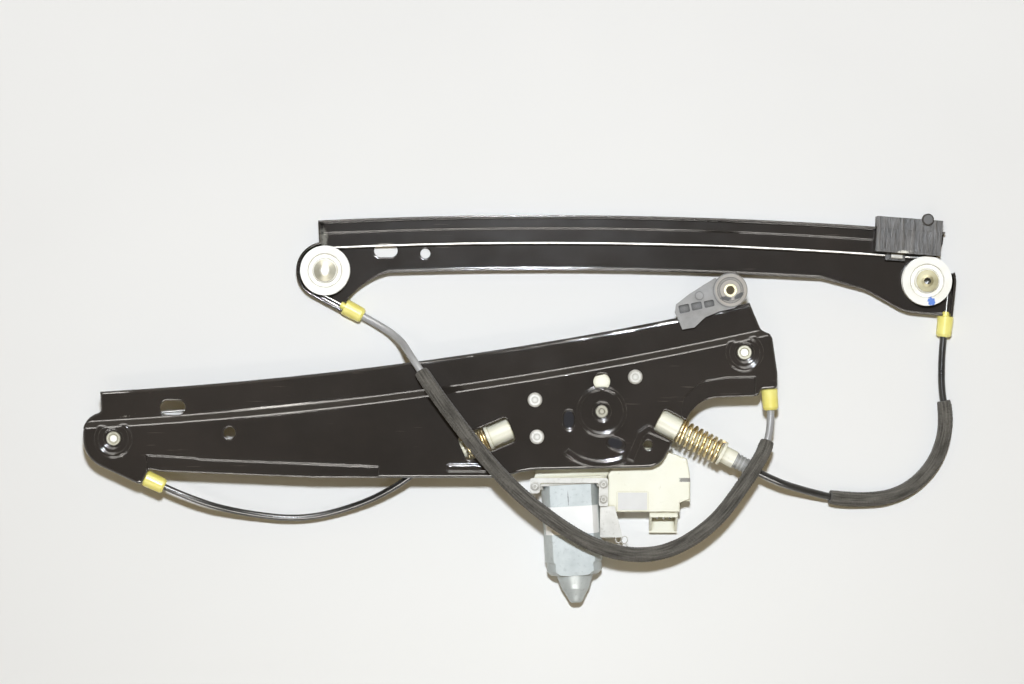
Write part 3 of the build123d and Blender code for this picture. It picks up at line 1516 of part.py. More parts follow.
save(cord("conduit_a", conduit_a, conduit_a_radius), "conduit_a")
save(cord("conduit_b", conduit_b, conduit_b_radius), "conduit_b")
save(cord("conduit_c", conduit_c, conduit_c_radius), "conduit_c")
save(sleeve("sleeve_a", conduit_a, *sleeve_a_turns, conduit_a_radius), "foam_sleeve_a")
save(sleeve("sleeve_b", conduit_b, *sleeve_b_turns, conduit_b_radius), "foam_sleeve_b")
save(plain_rail(), "plain_rail")
save(motor_rail(), "motor_rail")
save(pulley(plain_left_run.centre, plain_cable_z), "plain_left_pulley")
save(pulley(plain_right_run.centre, plain_cable_z), "plain_right_pulley")
save(pulley(motor_left_run.centre, motor_cable_z), "motor_left_pulley")
save(pulley(motor_right_run.centre, motor_cable_z), "motor_right_pulley")
save(plain_rivet(plain_left_run.centre, plain_rivet_head, 2.2, False), "plain_left_rivet")
save(plain_rivet(plain_right_run.centre, plain_rivet_head, 1.3, True), "plain_right_rivet")
save(motor_rivet(motor_left_run.centre), "motor_left_rivet")
save(motor_rivet(motor_right_run.centre), "motor_right_rivet")
save(end_cap(plain_left_run, plain_left_seat), "plain_left_cap")
save(end_cap(plain_right_run, plain_right_seat), "plain_right_cap")
save(end_cap(motor_left_run, motor_left_seat), "motor_left_cap")
save(end_cap(motor_right_run, motor_right_seat), "motor_right_cap")
save(rail_cable(plain, plain_left_run, plain_right_run, plain_left_cap_end - 0.3,
                plain_right_cap_end - 0.3, plain_cable_z), "plain_cable")
save(rail_cable(motor, motor_left_run, motor_right_run, motor_left_cap_end - 0.3,
                motor_right_cap_end - 0.3, motor_cable_z), "motor_cable")
save(pull_cable(right_pull_run, 7.5, right_ferrule + conduit_entry - 0.3), "right_pull_cable")
save(pull_cable(left_pull_run, 7.5, left_ferrule + conduit_entry - 0.3), "left_pull_cable")
save(cable_drum(), "cable_drum")
save(worm_wheel(), "worm_wheel")
save(drum_spindle(), "drum_spindle")
save(drum_housing(), "drum_housing")
save(drum_screws(), "drum_screws")
save(gear_housing(), "gear_housing")
save(motor_flange(), "motor_flange")
save(motor_bracket(), "motor_bracket")
save(bracket_screws(), "bracket_screws")
save(shield(), "shield_plate")
save(motor_screws(), "motor_screws")
save(motor_can(), "motor_can")
save(motor_magnets(), "motor_magnets")
save(armature(), "armature")
save(commutator(), "commutator")
save(worm_shaft(), "worm_shaft")
save(electronics_housing(), "electronics_housing")
save(connector_pins(), "connector_pins")
save(plunger(right_pull_run), "right_plunger")
save(plunger(left_pull_run), "left_plunger")
save(ferrule(right_pull_run), "right_ferrule")
save(ferrule(left_pull_run), "left_ferrule")
save(spring(right_pull_run, right_socket_end, spring_outer), "right_spring")
save(spring(left_pull_run, left_socket_end, left_spring_outer), "left_spring")
save(plain_carrier(), "plain_carrier")
save(plain_knob(), "plain_knob")
save(plain_nipple(), "plain_nipple")
save(motor_carrier(), "motor_carrier")
save(glass_insert(), "glass_insert")
save(motor_nipple(), "motor_nipple")
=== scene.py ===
import bmesh
import bpy
import json
from math import cos, pi, radians, sin
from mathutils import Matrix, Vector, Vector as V


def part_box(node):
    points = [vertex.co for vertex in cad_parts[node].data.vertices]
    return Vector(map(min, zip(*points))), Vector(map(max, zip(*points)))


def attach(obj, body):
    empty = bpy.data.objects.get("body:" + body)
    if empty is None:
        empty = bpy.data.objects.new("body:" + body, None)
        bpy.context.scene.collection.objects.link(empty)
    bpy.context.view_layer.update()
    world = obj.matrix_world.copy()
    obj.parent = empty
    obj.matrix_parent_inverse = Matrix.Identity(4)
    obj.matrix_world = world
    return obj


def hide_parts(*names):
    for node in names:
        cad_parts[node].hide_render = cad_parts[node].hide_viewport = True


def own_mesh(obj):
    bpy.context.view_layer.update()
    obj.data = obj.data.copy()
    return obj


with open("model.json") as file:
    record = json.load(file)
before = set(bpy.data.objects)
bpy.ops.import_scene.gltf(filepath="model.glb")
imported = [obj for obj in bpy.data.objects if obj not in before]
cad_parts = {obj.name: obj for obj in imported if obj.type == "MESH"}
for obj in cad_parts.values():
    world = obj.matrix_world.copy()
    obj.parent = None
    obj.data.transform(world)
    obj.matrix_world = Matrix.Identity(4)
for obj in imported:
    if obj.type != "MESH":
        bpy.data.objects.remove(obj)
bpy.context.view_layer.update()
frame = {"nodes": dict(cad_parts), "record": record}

nodes = frame["nodes"]

# All lengths are in metres and all angles in radians, in the frame of the CAD part.


# ------------------------------------------------------------------ material kit
class Paint:
    """A node material: a principled shader whose inputs are fed by small node chains."""

    def __init__(self, name, color, rough, metallic=0.0, coat=0.0, coat_rough=0.08,
                 sheen=0.0, specular=0.5):
        self.mat = bpy.data.materials.new(name)
        self.mat.use_nodes = True
        self.tree = self.mat.node_tree
        self.shader = self.tree.nodes["Principled BSDF"]
        coords = self.tree.nodes.new("ShaderNodeTexCoord")
        self.place, self.uv = coords.outputs["Object"], coords.outputs["UV"]
        put = self.shader.inputs
        put["Base Color"].default_value = (*color, 1)
        put["Roughness"].default_value = rough
        put["Metallic"].default_value = metallic
        put["Coat Weight"].default_value = coat
        put["Coat Roughness"].default_value = coat_rough
        put["Sheen Weight"].default_value = sheen
        put["Specular IOR Level"].default_value = specular
        self.height = None

    def link(self, a, b):
        self.tree.links.new(a, b)

    def node(self, kind, inputs=(), **settings):
        new = self.tree.nodes.new(kind)
        for key, value in settings.items():
            setattr(new, key, value)
        for key, value in dict(inputs).items():
            if isinstance(value, bpy.types.NodeSocket):
                self.link(value, new.inputs[key])
            else:
                new.inputs[key].default_value = value
        return new

    def noise(self, scale, detail=4.0, rough=0.55, stretch=(1, 1, 1), turn=(0, 0, 0),
              coords=None):
        place = self.node("ShaderNodeMapping", {"Vector": coords or self.place,
                                                "Scale": stretch, "Rotation": turn})
        return self.node("ShaderNodeTexNoise", {
            "Vector": place.outputs["Vector"], "Scale": scale, "Detail": detail,
            "Roughness": rough}).outputs["Fac"]

    def span(self, value, low, high, to_low=0.0, to_high=1.0):
        return self.node("ShaderNodeMapRange", {
            "Value": value, "From Min": low, "From Max": high, "To Min": to_low,
            "To Max": to_high}).outputs["Result"]

    def times(self, a, b):
        return self.node("ShaderNodeMath", {0: a, 1: b}, operation="MULTIPLY").outputs[0]

    def patch(self, at, half, angle=0.0, soft=0.2, ragged=0.0, boxed=False):
        """1 inside an ellipse or a box round a point, 0 outside, with a soft or ragged rim."""
        local = self.node("ShaderNodeMapping", {
            "Vector": self.place, "Location": at, "Rotation": (0, 0, angle), "Scale": half,
        }, vector_type="TEXTURE").outputs["Vector"]
        if boxed:
            sides = self.node("ShaderNodeSeparateXYZ", {
                0: self.node("ShaderNodeVectorMath", {0: local},
                             operation="ABSOLUTE").outputs[0]})
            most = self.node("ShaderNodeMath", {0: sides.outputs[0], 1: sides.outputs[1]},
                             operation="MAXIMUM").outputs[0]
            reach = self.node("ShaderNodeMath", {0: most, 1: sides.outputs[2]},
                              operation="MAXIMUM").outputs[0]
        else:
            reach = self.node("ShaderNodeVectorMath", {0: local},
                              operation="LENGTH").outputs["Value"]
        if ragged:
            torn = self.span(self.noise(500, 4, 0.7), 0.3, 0.7, -ragged, ragged)
            reach = self.node("ShaderNodeMath", {0: reach, 1: torn}).outputs[0]
        return self.span(reach, 1 + soft / 2, 1 - soft / 2)

    def lay(self, factor, color):
        """Lays a colour over the base colour where the factor is 1."""
        base = self.shader.inputs["Base Color"]
        under = base.links[0].from_socket if base.links else tuple(base.default_value)
        mix = self.node("ShaderNodeMix", data_type="RGBA")
        self.link(factor, mix.inputs["Factor"])
        color_inputs = [s for s in mix.inputs if s.type == "RGBA"]
        if isinstance(under, tuple):
            color_inputs[0].default_value = under
        else:
            self.link(under, color_inputs[0])
        color_inputs[1].default_value = (*color, 1)
        self.link([s for s in mix.outputs if s.type == "RGBA"][0], base)
        return self

    def tint(self, value, low, high, at=(0.35, 0.65)):
        """Base colour between two colours by a value."""
        ramp = self.node("ShaderNodeValToRGB", {"Fac": value})
        for element, place, color in zip(ramp.color_ramp.elements, at, (low, high)):
            element.position = place
            element.color = (*color, 1)
        self.link(ramp.outputs["Color"], self.shader.inputs["Base Color"])
        return self

    def gloss(self, value, low, high):
        self.link(self.span(value, 0.3, 0.7, low, high), self.shader.inputs["Roughness"])
        return self

    def bump(self, value, strength, distance):
        bump = self.node("ShaderNodeBump", {"Strength": strength, "Distance": distance,
                                            "Height": value})
        if self.height:
            self.link(self.height, bump.inputs["Normal"])
        self.height = bump.outputs["Normal"]
        self.link(self.height, self.shader.inputs["Normal"])
        return self

    def rounded(self, radius):
        """Lets edges catch the light as if rounded to a radius, which pressed steel is."""
        self.height = self.node("ShaderNodeBevel", {"Radius": radius},
                                samples=8).outputs["Normal"]
        self.link(self.height, self.shader.inputs["Normal"])
        return self

    def crease(self, reach, amount):
        """Painted shade: up to amount in hollows and along inner corners, 0 on open faces."""
        shade = self.node("ShaderNodeAmbientOcclusion", {"Distance": reach}, samples=8)
        return self.span(shade.outputs["AO"], 0.45, 0.92, amount, 0.0)

    def edge(self, radius, amount):
        """Up to amount on sharp edges, 0 on smooth faces."""
        bevel = self.node("ShaderNodeBevel", {"Radius": radius}, samples=6)
        normal = self.node("ShaderNodeNewGeometry").outputs["Normal"]
        dot = self.node("ShaderNodeVectorMath", {0: bevel.outputs["Normal"], 1: normal},
                        operation="DOT_PRODUCT")
        return self.span(dot.outputs["Value"], 0.97, 0.75, 0.0, amount)


def black_paint(name="black_paint", marks=()):
    """Dip paint on pressed steel: deep gloss, brown-black, orange peel, dust and scuffs."""
    paint = Paint(name, (0.03, 0.026, 0.023), 0.09, coat=0.5, coat_rough=0.07)
    paint.rounded(0.0018)
    paint.tint(paint.noise(11, 4, 0.6), (0.028, 0.024, 0.021), (0.038, 0.032, 0.028))
    dust = paint.span(paint.noise(1500, 2, 0.8), 0.66, 0.72, 0.0, 0.10)
    paint.lay(dust, (0.30, 0.27, 0.22))
    scratch = paint.span(paint.noise(700, 2, 0.5, (0.035, 1, 1), (0, 0, 0.12)), 0.69, 0.705,
                         0.0, 0.25)
    where = paint.span(paint.noise(22, 3), 0.54, 0.60)
    paint.lay(paint.times(scratch, where), (0.22, 0.19, 0.16))
    worn = paint.times(paint.edge(0.0006, 0.55), paint.span(paint.noise(160, 4), 0.42, 0.6))
    paint.lay(worn, (0.20, 0.18, 0.155))
    for mark, color in marks:
        paint.lay(paint.patch(*mark), color)
    paint.gloss(paint.noise(40, 4), 0.075, 0.105)
    paint.bump(paint.noise(900, 2), 0.04, 0.0001)
    return paint


def plastic(name, low, high, rough, grain=900, coat=0.0, bump=0.10, spread=30, soil_and_shade=None):
    """Moulded plastic: slight colour drift, fine grain, patches of dirt, and painted shade in its
    corners.
    """
    paint = Paint(name, low, rough, coat=coat, coat_rough=0.15)
    paint.tint(paint.noise(spread, 5, 0.6), low, high)
    if soil_and_shade:
        paint.lay(paint.span(paint.noise(240, 6, 0.75), 0.60, 0.72, 0.0, 0.35), soil_and_shade)
        # painted shade: the same colour again, laid in corners where ambient occlusion finds them
        paint.lay(paint.crease(0.004, 0.85), soil_and_shade)
    paint.gloss(paint.noise(70, 3), rough * 0.85, min(1, rough * 1.25))
    paint.bump(paint.noise(grain, 2), bump, 0.0003)
    return paint


def metal(name, low, high, rough, metallic=1.0, brush=(1, 1, 30), scale=120, soil_and_shade=None):
    """Plated or turned metal with a lay of fine tool lines, some dirt, and painted shade in its
    hollows.
    """
    paint = Paint(name, low, rough, metallic=metallic)
    paint.tint(paint.noise(60, 5, 0.6), low, high)
    if soil_and_shade:
        paint.lay(paint.span(paint.noise(420, 5, 0.7), 0.56, 0.70, 0.0, 0.5), soil_and_shade)
        # painted shade: the same colour again, laid in hollows where ambient occlusion finds them
        paint.lay(paint.crease(0.002, 0.9), soil_and_shade)
    paint.gloss(paint.noise(scale, 3, stretch=brush), rough * 0.8, rough * 1.3)
    paint.bump(paint.noise(scale * 2, 3, stretch=brush), 0.12, 0.0002)
    return paint


def foam_paint():
    """Open foam with a skin: lengthwise streaks along the sleeve, pores in between."""
    paint = Paint("foam", (0.10, 0.095, 0.085), 0.9, sheen=0.15, specular=0.1)
    streaks = paint.noise(1, 5, 0.62, (0.45, 21, 1), coords=paint.uv)
    paint.tint(streaks, (0.045, 0.042, 0.037), (0.165, 0.155, 0.138), (0.34, 0.64))
    pores = paint.span(paint.noise(1600, 3, 0.7), 0.55, 0.7, 0.0, 0.5)
    paint.lay(pores, (0.03, 0.028, 0.025))
    paint.bump(streaks, 0.6, 0.0012)
    paint.bump(paint.noise(1300, 3, 0.7), 0.35, 0.0004)
    return paint


# Marks on single pieces: a place, half sizes, a turn, and how soft and ragged the rim is.
WORN_BULGE = ((-0.1363, 0.1195, 0.008), (0.0022, 0.0062, 0.02), 0.05, 0.8, 0.5)
SEAT_SCUFF = ((-0.2745, 0.0120, 0.010), (0.0050, 0.0016, 0.02), -0.5, 0.6, 0.6)
HEAD_SCUFF = ((-0.2700, -0.0040, 0.010), (0.0060, 0.0008, 0.02), 0.2, 0.6, 0.8)
# Painted shade: dark patches over the motor rail's two windows, standing in for the shade seen
# through them.
LEFT_WINDOW_SHADE = ((0.0343, -0.0067, 0.045), (0.0040, 0.0072, 0.02), 0, 0.15)
RIGHT_WINDOW_SHADE = ((0.0663, -0.0226, 0.045), (0.0056, 0.0044, 0.02), -0.35, 0.15)
PAINT_BLOT = ((0.2874, 0.0751, 0.03), (0.0026, 0.0032, 0.05), 0.4, 0.2, 0.35)
# Painted highlight: a pale glint on the plain carrier where the cable enters it.
CARRIER_GLINT = ((0.2672, 0.1094, 0.02), (0.0040, 0.0011, 0.05), 0.1, 0.5, 0.6)
# Painted shade: a dark band for the shade in a notch at the edge of the electronics box.
BOX_NOTCH_SHADE = ((0.1150, -0.0487, 0.02), (0.0036, 0.0013, 0.05), 0, 0.3, 0.2)
CAN_LINE = ((0.0339, -0.0613, 0.03), (0.0003, 0.0048, 0.02), 0.056, 0.6, 0.3)
CARRIER_HEAD = (0.1460, 0.0827)
# Painted shade: where two leaf-shaped slots of the carrier are drawn as dark patches.
LEAVES = (((0.1422, 0.0768), -0.10), ((0.1511, 0.0787), 0.50))

GREASE = (0.52, 0.46, 0.20)
BLUE = (0.035, 0.16, 0.60)
# SLATE is the colour of the painted shade in the windows.
SLATE = (0.032, 0.032, 0.036)


def pulley_paint(name, at, mark=None):
    """Acetal with a stain of cable grease round the hub."""
    paint = plastic(name, (0.82, 0.81, 0.765), (0.87, 0.86, 0.82), 0.42)
    paint.lay(paint.times(paint.patch((*at, 0.012), (0.0135, 0.0125, 0.05), 0, 0.9),
                          paint.span(paint.noise(90, 3), 0.35, 0.7, 0.0, 0.35)), GREASE)
    if mark:
        paint.lay(paint.patch(*mark), BLUE)
    return paint


def carrier_paint():
    """Glass-filled nylon, warmer on the turned head, with painted shade in its pockets and two
    leaf-shaped slots painted on as shade.
    """
    paint = plastic("grey_plastic", (0.195, 0.190, 0.185), (0.255, 0.250, 0.243), 0.5,
                    grain=1400, bump=0.22, spread=120, soil_and_shade=(0.10, 0.09, 0.075))
    paint.lay(paint.times(paint.patch((*CARRIER_HEAD, 0.03), (0.0118, 0.0118, 0.05), 0, 0.08),
                          paint.span(paint.noise(200, 4), 0.3, 0.6, 0.5, 0.95)),
              (0.33, 0.295, 0.25))
    # painted shade: near black in the pockets and inner corners
    paint.lay(paint.crease(0.006, 0.95), (0.03, 0.028, 0.025))
    # painted shade: two leaf-shaped slots drawn as dark patches
    for at, angle in LEAVES:
        paint.lay(paint.patch((*at, 0.04), (0.0039, 0.0015, 0.02), angle, 0.3, 0.25),
                  (0.025, 0.022, 0.02))
    return paint


paints = {
    "black_paint": black_paint(),
    "white_plastic": plastic("white_plastic", (0.84, 0.83, 0.78), (0.89, 0.88, 0.84), 0.35),
    "zinc_steel": metal("zinc_steel", (0.50, 0.49, 0.455), (0.64, 0.63, 0.595), 0.42, 0.10,
                        soil_and_shade=(0.26, 0.24, 0.19)),
    "olive_brass": metal("olive_brass", (0.26, 0.235, 0.14), (0.36, 0.33, 0.22), 0.40, 0.3,
                         soil_and_shade=(0.16, 0.13, 0.07)),
    "yellow_plastic": plastic("yellow_plastic", (0.84, 0.74, 0.16), (0.90, 0.83, 0.27), 0.34,
                              coat=0.2),
    "cable_steel": metal("cable_steel", (0.30, 0.29, 0.275), (0.55, 0.54, 0.52), 0.34,
                         brush=(1, 8, 8), scale=900),
    "ivory_plastic": plastic("ivory_plastic", (0.775, 0.76, 0.62), (0.83, 0.82, 0.705), 0.42,
                             coat=0.1, soil_and_shade=(0.42, 0.38, 0.22)),
    "can_steel": metal("can_steel", (0.40, 0.435, 0.437), (0.50, 0.535, 0.532), 0.42, 0.12,
                       brush=(1, 1, 1), scale=260, soil_and_shade=(0.50, 0.53, 0.54)),
    "ferrite": metal("ferrite", (0.06, 0.06, 0.065), (0.14, 0.14, 0.14), 0.6, 0.5),
    "copper": metal("copper", (0.55, 0.26, 0.13), (0.75, 0.42, 0.25), 0.3),
    "tin_plate": metal("tin_plate", (0.65, 0.64, 0.6), (0.8, 0.8, 0.77), 0.25),
    "grey_rubber": plastic("grey_rubber", (0.26, 0.26, 0.25), (0.40, 0.40, 0.385), 0.45,
                           bump=0.2, soil_and_shade=(0.09, 0.085, 0.075)),
    "spring_steel": metal("spring_steel", (0.56, 0.42, 0.17), (0.86, 0.78, 0.52), 0.28, 0.85,
                          soil_and_shade=(0.42, 0.22, 0.05)),
    "black_plastic": plastic("black_plastic", (0.030, 0.027, 0.024), (0.060, 0.054, 0.048),
                             0.42),
    "grey_plastic": carrier_paint(),
    "brass_insert": metal("brass_insert", (0.50, 0.44, 0.24), (0.70, 0.65, 0.44), 0.35, 0.3,
                          soil_and_shade=(0.10, 0.08, 0.04)),
    "grey_vinyl": plastic("grey_vinyl", (0.30, 0.30, 0.305), (0.38, 0.38, 0.385), 0.36,
                          coat=0.2),
    "black_vinyl": plastic("black_vinyl", (0.016, 0.0155, 0.015), (0.036, 0.034, 0.032), 0.22,
                           coat=0.4),
    "foam": foam_paint(),
    "grey_label": plastic("grey_label", (0.62, 0.62, 0.61), (0.70, 0.70, 0.69), 0.5,
                          grain=2200, bump=0.05),
    "label_paper": plastic("label_paper", (0.84, 0.84, 0.83), (0.89, 0.89, 0.88), 0.55,
                           grain=2200, bump=0.05),
}


def top_of(name):
    """Middle of the top of a CAD node's box."""
    low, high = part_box(name)
    middle = (low + high) / 2
    return V((middle.x, middle.y, high.z))


def rivet_paint(name, dome):
    """Dull zinc with a painted highlight, a bright spot on the dome in the middle of the head."""
    paint = metal(name + "_paint", (0.30, 0.285, 0.21), (0.44, 0.42, 0.34), 0.36, 0.3,
                  soil_and_shade=(0.20, 0.18, 0.11))
    # painted highlight in the middle of the head
    return paint.lay(paint.patch(top_of(name), (dome, dome, 0.02), 0, 0.5, 0.1),
                     (0.80, 0.79, 0.73))


def pierced_rivet_paint(name):
    """Olive zinc, with painted shade, black, in the hole of the head."""
    paint = metal(name + "_paint", (0.27, 0.24, 0.135), (0.38, 0.345, 0.21), 0.40, 0.3,
                  soil_and_shade=(0.20, 0.17, 0.09))
    # painted shade: black in the hole
    return paint.lay(paint.patch(top_of(name), (0.0023, 0.0023, 0.02), 0, 0.2),
                     (0.02, 0.015, 0.01))


def block_paint():
    """Black nylon with upright flow streaks and a painted highlight: a pale glint."""
    paint = plastic("plain_carrier_paint", (0.030, 0.026, 0.022), (0.085, 0.076, 0.066), 0.4,
                    spread=50)
    upright = ((1, 0.10, 1), (0, 0, 0.06))
    paint.tint(paint.noise(420, 5, 0.65, *upright), (0.030, 0.026, 0.022),
               (0.105, 0.094, 0.082), (0.40, 0.68))
    paint.bump(paint.noise(420, 4, 0.65, *upright), 0.6, 0.0012)
    # painted highlight: the pale glint
    return paint.lay(paint.patch(*CARRIER_GLINT), (0.62, 0.60, 0.54))


def electronics_paint():
    """Ivory plastic with painted shade: a dark band in a notch at the edge of the box."""
    paint = plastic("electronics_paint", (0.775, 0.76, 0.62), (0.83, 0.82, 0.705), 0.42,
                    coat=0.1, soil_and_shade=(0.42, 0.38, 0.22))
    # painted shade in the notch
    return paint.lay(paint.patch(*BOX_NOTCH_SHADE, boxed=True), (0.20, 0.19, 0.165))


def can_paint():
    """Satin plated steel with a short dark line along the can."""
    paint = metal("motor_can_paint", (0.40, 0.435, 0.437), (0.50, 0.535, 0.532), 0.38, 0.12,
                  brush=(1, 1, 1), scale=260, soil_and_shade=(0.22, 0.24, 0.245))
    return paint.lay(paint.patch(*CAN_LINE), (0.12, 0.12, 0.12))


def special_paints():
    """Paints of single pieces whose finish differs from their slot's in one place."""
    own = {
        "plain_rail": black_paint("plain_rail_paint", [(WORN_BULGE, (0.22, 0.21, 0.18))]),
        "motor_rail": black_paint("motor_rail_paint", [
            (SEAT_SCUFF, (0.16, 0.15, 0.13)), (HEAD_SCUFF, (0.34, 0.32, 0.28)),
            # the two window marks are painted shade
            (LEFT_WINDOW_SHADE, SLATE), (RIGHT_WINDOW_SHADE, SLATE)]),
        "drum_spindle": metal("drum_spindle_paint", (0.17, 0.16, 0.12),
                              (0.26, 0.245, 0.19), 0.40, 0.3, soil_and_shade=(0.10, 0.09, 0.06)),
    }
    for name, mark in (("plain_left_pulley", None), ("plain_right_pulley", PAINT_BLOT),
                       ("motor_left_pulley", None), ("motor_right_pulley", None)):
        own[name] = pulley_paint(name + "_paint", top_of(name)[:2], mark)
    for name, dome in (("plain_left_rivet", 0.0032), ("motor_left_rivet", 0.0022),
                       ("motor_right_rivet", 0.0022)):
        own[name] = rivet_paint(name, dome)
    own["plain_right_rivet"] = pierced_rivet_paint("plain_right_rivet")
    own["plain_carrier"] = block_paint()
    own["electronics_housing"] = electronics_paint()
    own["motor_can"] = can_paint()
    return own


own_paints = special_paints()
for part in frame["record"]["subparts"]:
    mesh = nodes[part["node"]].data
    mesh.materials.clear()
    paint = own_paints.get(part["node"]) or paints[part["material_slot"]]
    mesh.materials.append(paint.mat)


# ------------------------------------------------------------------ mesh helpers
SHARP_EDGE = radians(40)                  # edges that turn more than this stay crisp


def piece(name, mesh, paint, body):
    """Puts a mesh in the scene, painted, with crisp edges, riding on a body of the part."""
    mesh.materials.clear()
    mesh.materials.append(paints[paint].mat)
    obj = bpy.data.objects.new(name, mesh)
    bpy.context.scene.collection.objects.link(obj)
    for face in mesh.polygons:
        face.use_smooth = True
    mesh.set_sharp_from_angle(angle=SHARP_EDGE)
    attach(obj, body)
    return obj


def tube_mesh(name, points, radius, sides=16, shape=None):
    """Closed tube through points; shape(reach, end, angle) scales its radius.

    reach is the way along from the start and end the way to the nearer end, both in metres.
    Its UV map runs in centimetres along the tube and once round it.
    """
    count = len(points)
    tangents = []
    reach = [0.0]
    for i in range(count):
        a, b = points[max(i - 1, 0)], points[min(i + 1, count - 1)]
        tangents.append((b - a).normalized())
        if i:
            reach.append(reach[-1] + (points[i] - points[i - 1]).length)
    up = V((0, 0, 1))
    if abs(tangents[0].dot(up)) > 0.9:
        up = V((1, 0, 0))
    side = tangents[0].cross(up).normalized()
    rings = []
    bm = bmesh.new()
    uv = bm.loops.layers.uv.new("along")
    for point, along, at in zip(points, tangents, reach):
        side = (side - along * side.dot(along)).normalized()
        over = along.cross(side)
        ring = []
        for k in range(sides):
            angle = 2 * pi * k / sides
            out = radius
            if shape:
                out *= shape(at, min(at, reach[-1] - at), angle)
            ring.append(bm.verts.new(point + side * (cos(angle) * out)
                                     + over * (sin(angle) * out)))
        rings.append(ring)
    for i in range(count - 1):
        for k in range(sides):
            corners = ((i, k), (i, k + 1), (i + 1, k + 1), (i + 1, k))
            face = bm.faces.new([rings[row][column % sides] for row, column in corners])
            for loop, (row, column) in zip(face.loops, corners):
                loop[uv].uv = (reach[row] * 100, column / sides)
    bm.faces.new(list(reversed(rings[0])))
    bm.faces.new(rings[-1])
    bmesh.ops.recalc_face_normals(bm, faces=bm.faces)
    mesh = bpy.data.meshes.new(name)
    bm.to_mesh(mesh)
    bm.free()
    return mesh


def in_order(bm):
    """Corners and faces of a bmesh, listed the same way in every run."""
    verts = sorted(bm.verts, key=lambda vert: vert.co[:])
    number = {vert: k for k, vert in enumerate(verts)}
    faces = []
    for face in bm.faces:
        ring = [number[vert] for vert in face.verts]
        first = ring.index(min(ring))
        faces.append(ring[first:] + ring[:first])
    return [vert.co[:] for vert in verts], sorted(faces)


def skin(name, node, paint, body, walls, faces, lift, thick):
    """Label stuck on a CAD node, made from the node's own faces.

    faces says which of them to take and walls, each a point and its outward side, cut them to
    size. What is left is lifted off the node and given a thickness.
    """
    bm = bmesh.new()
    bm.from_mesh(nodes[node].data)
    bmesh.ops.remove_doubles(bm, verts=bm.verts, dist=1e-6)
    bmesh.ops.delete(bm, geom=[f for f in bm.faces if not faces(f)], context="FACES")
    for point, outward in walls:
        bmesh.ops.bisect_plane(bm, geom=bm.verts[:] + bm.edges[:] + bm.faces[:],
                               plane_co=point, plane_no=outward, clear_outer=True)
    bm.normal_update()
    outward = {vert: vert.normal.copy() for vert in bm.verts}
    for vert, normal in outward.items():
        vert.co += normal * lift
    top = bmesh.ops.extrude_face_region(bm, geom=bm.faces[:])["geom"]
    bm.normal_update()
    for vert in (g for g in top if isinstance(g, bmesh.types.BMVert)):
        vert.co += vert.normal * thick
    bmesh.ops.recalc_face_normals(bm, faces=bm.faces)
    corners, outlines = in_order(bm)
    bm.free()
    mesh = bpy.data.meshes.new(name)
    mesh.from_pydata(corners, [], outlines)
    return piece(name, mesh, paint, body)


# ------------------------------------------------------------------ camera
camera_at = (-0.0049, 0.0469, 2.4)        # it looks straight down
seen_width = 0.7168                       # width of floor that fills the picture
camera = bpy.data.cameras.new("camera")
camera.sensor_width = 36.0
camera.lens = camera.sensor_width * camera_at[2] / seen_width
view = bpy.data.objects.new("camera", camera)
bpy.context.scene.collection.objects.link(view)
view.location = camera_at
bpy.context.scene.camera = view

# ------------------------------------------------------------------ conduits
# Radius, paint and the route's points, which were chosen.
ROUTES = {
    "conduit_a": (0.0026, "grey_vinyl", [
        (-0.1125, 0.0668, 0.0065), (-0.0951, 0.0575, 0.0065), (-0.0820, 0.0482, 0.0167),
        (-0.0738, 0.0362, 0.0450), (-0.0530, 0.0051, 0.0504), (-0.0160, -0.0425, 0.0475),
        (0.0170, -0.0725, 0.0440), (0.0570, -0.0975, 0.0390), (0.0970, -0.1015, 0.0340),
        (0.1325, -0.0815, 0.0370), (0.1570, -0.0480, 0.0430), (0.1754, -0.0186, 0.0280),
        (0.1738, 0.0039, 0.0280),
    ]),
    "conduit_b": (0.0025, "black_vinyl", [
        (0.2967, 0.0545, 0.0065), (0.2933, 0.0222, 0.0065), (0.2995, -0.0110, 0.0060),
        (0.2895, -0.0415, 0.0058), (0.2640, -0.0620, 0.0058), (0.2270, -0.0635, 0.0085),
        (0.1990, -0.0565, 0.0170), (0.1764, -0.0492, 0.0280), (0.1552, -0.0379, 0.0280),
    ]),
    "conduit_c": (0.0022, "black_vinyl", [
        (-0.2490, -0.0516, 0.0280), (-0.2231, -0.0636, 0.0280), (-0.1900, -0.0725, 0.0150),
        (-0.1500, -0.0770, 0.0110), (-0.1120, -0.0670, 0.0140), (-0.0860, -0.0540, 0.0220),
        (-0.0643, -0.0378, 0.0280), (-0.0468, -0.0304, 0.0280),
    ]),
}


def spline_line(name, route):
    """Points of the smooth line, a NURBS spline, that a conduit follows along its route."""
    curve = bpy.data.curves.new(name + "_line", "CURVE")
    curve.dimensions = "3D"
    spline = curve.splines.new("NURBS")
    spline.points.add(len(route) - 1)
    for point, at in zip(spline.points, route):
        point.co = (*at, 1)
    spline.order_u = 3
    spline.use_endpoint_u = True
    curve.resolution_u = 32
    ghost = bpy.data.objects.new(name + "_line", curve)
    mesh = bpy.data.meshes.new_from_object(ghost)
    line = [vert.co.copy() for vert in mesh.vertices]
    bpy.data.objects.remove(ghost)
    bpy.data.curves.remove(curve)
    bpy.data.meshes.remove(mesh)
    return line


def stretch_of(line, start, finish, step):
    """Evenly spaced points between two shares of a line's length."""
    reach = [0.0]
    for a, b in zip(line, line[1:]):
        reach.append(reach[-1] + (b - a).length)
    count = max(2, round((finish - start) * reach[-1] / step))
    points = []
    k = 0
    for i in range(count + 1):
        want = (start + (finish - start) * i / count) * reach[-1]
        while k < len(reach) - 2 and reach[k + 1] < want:
            k += 1
        points.append(line[k].lerp(line[k + 1], (want - reach[k]) / (reach[k + 1] - reach[k])))
    return points


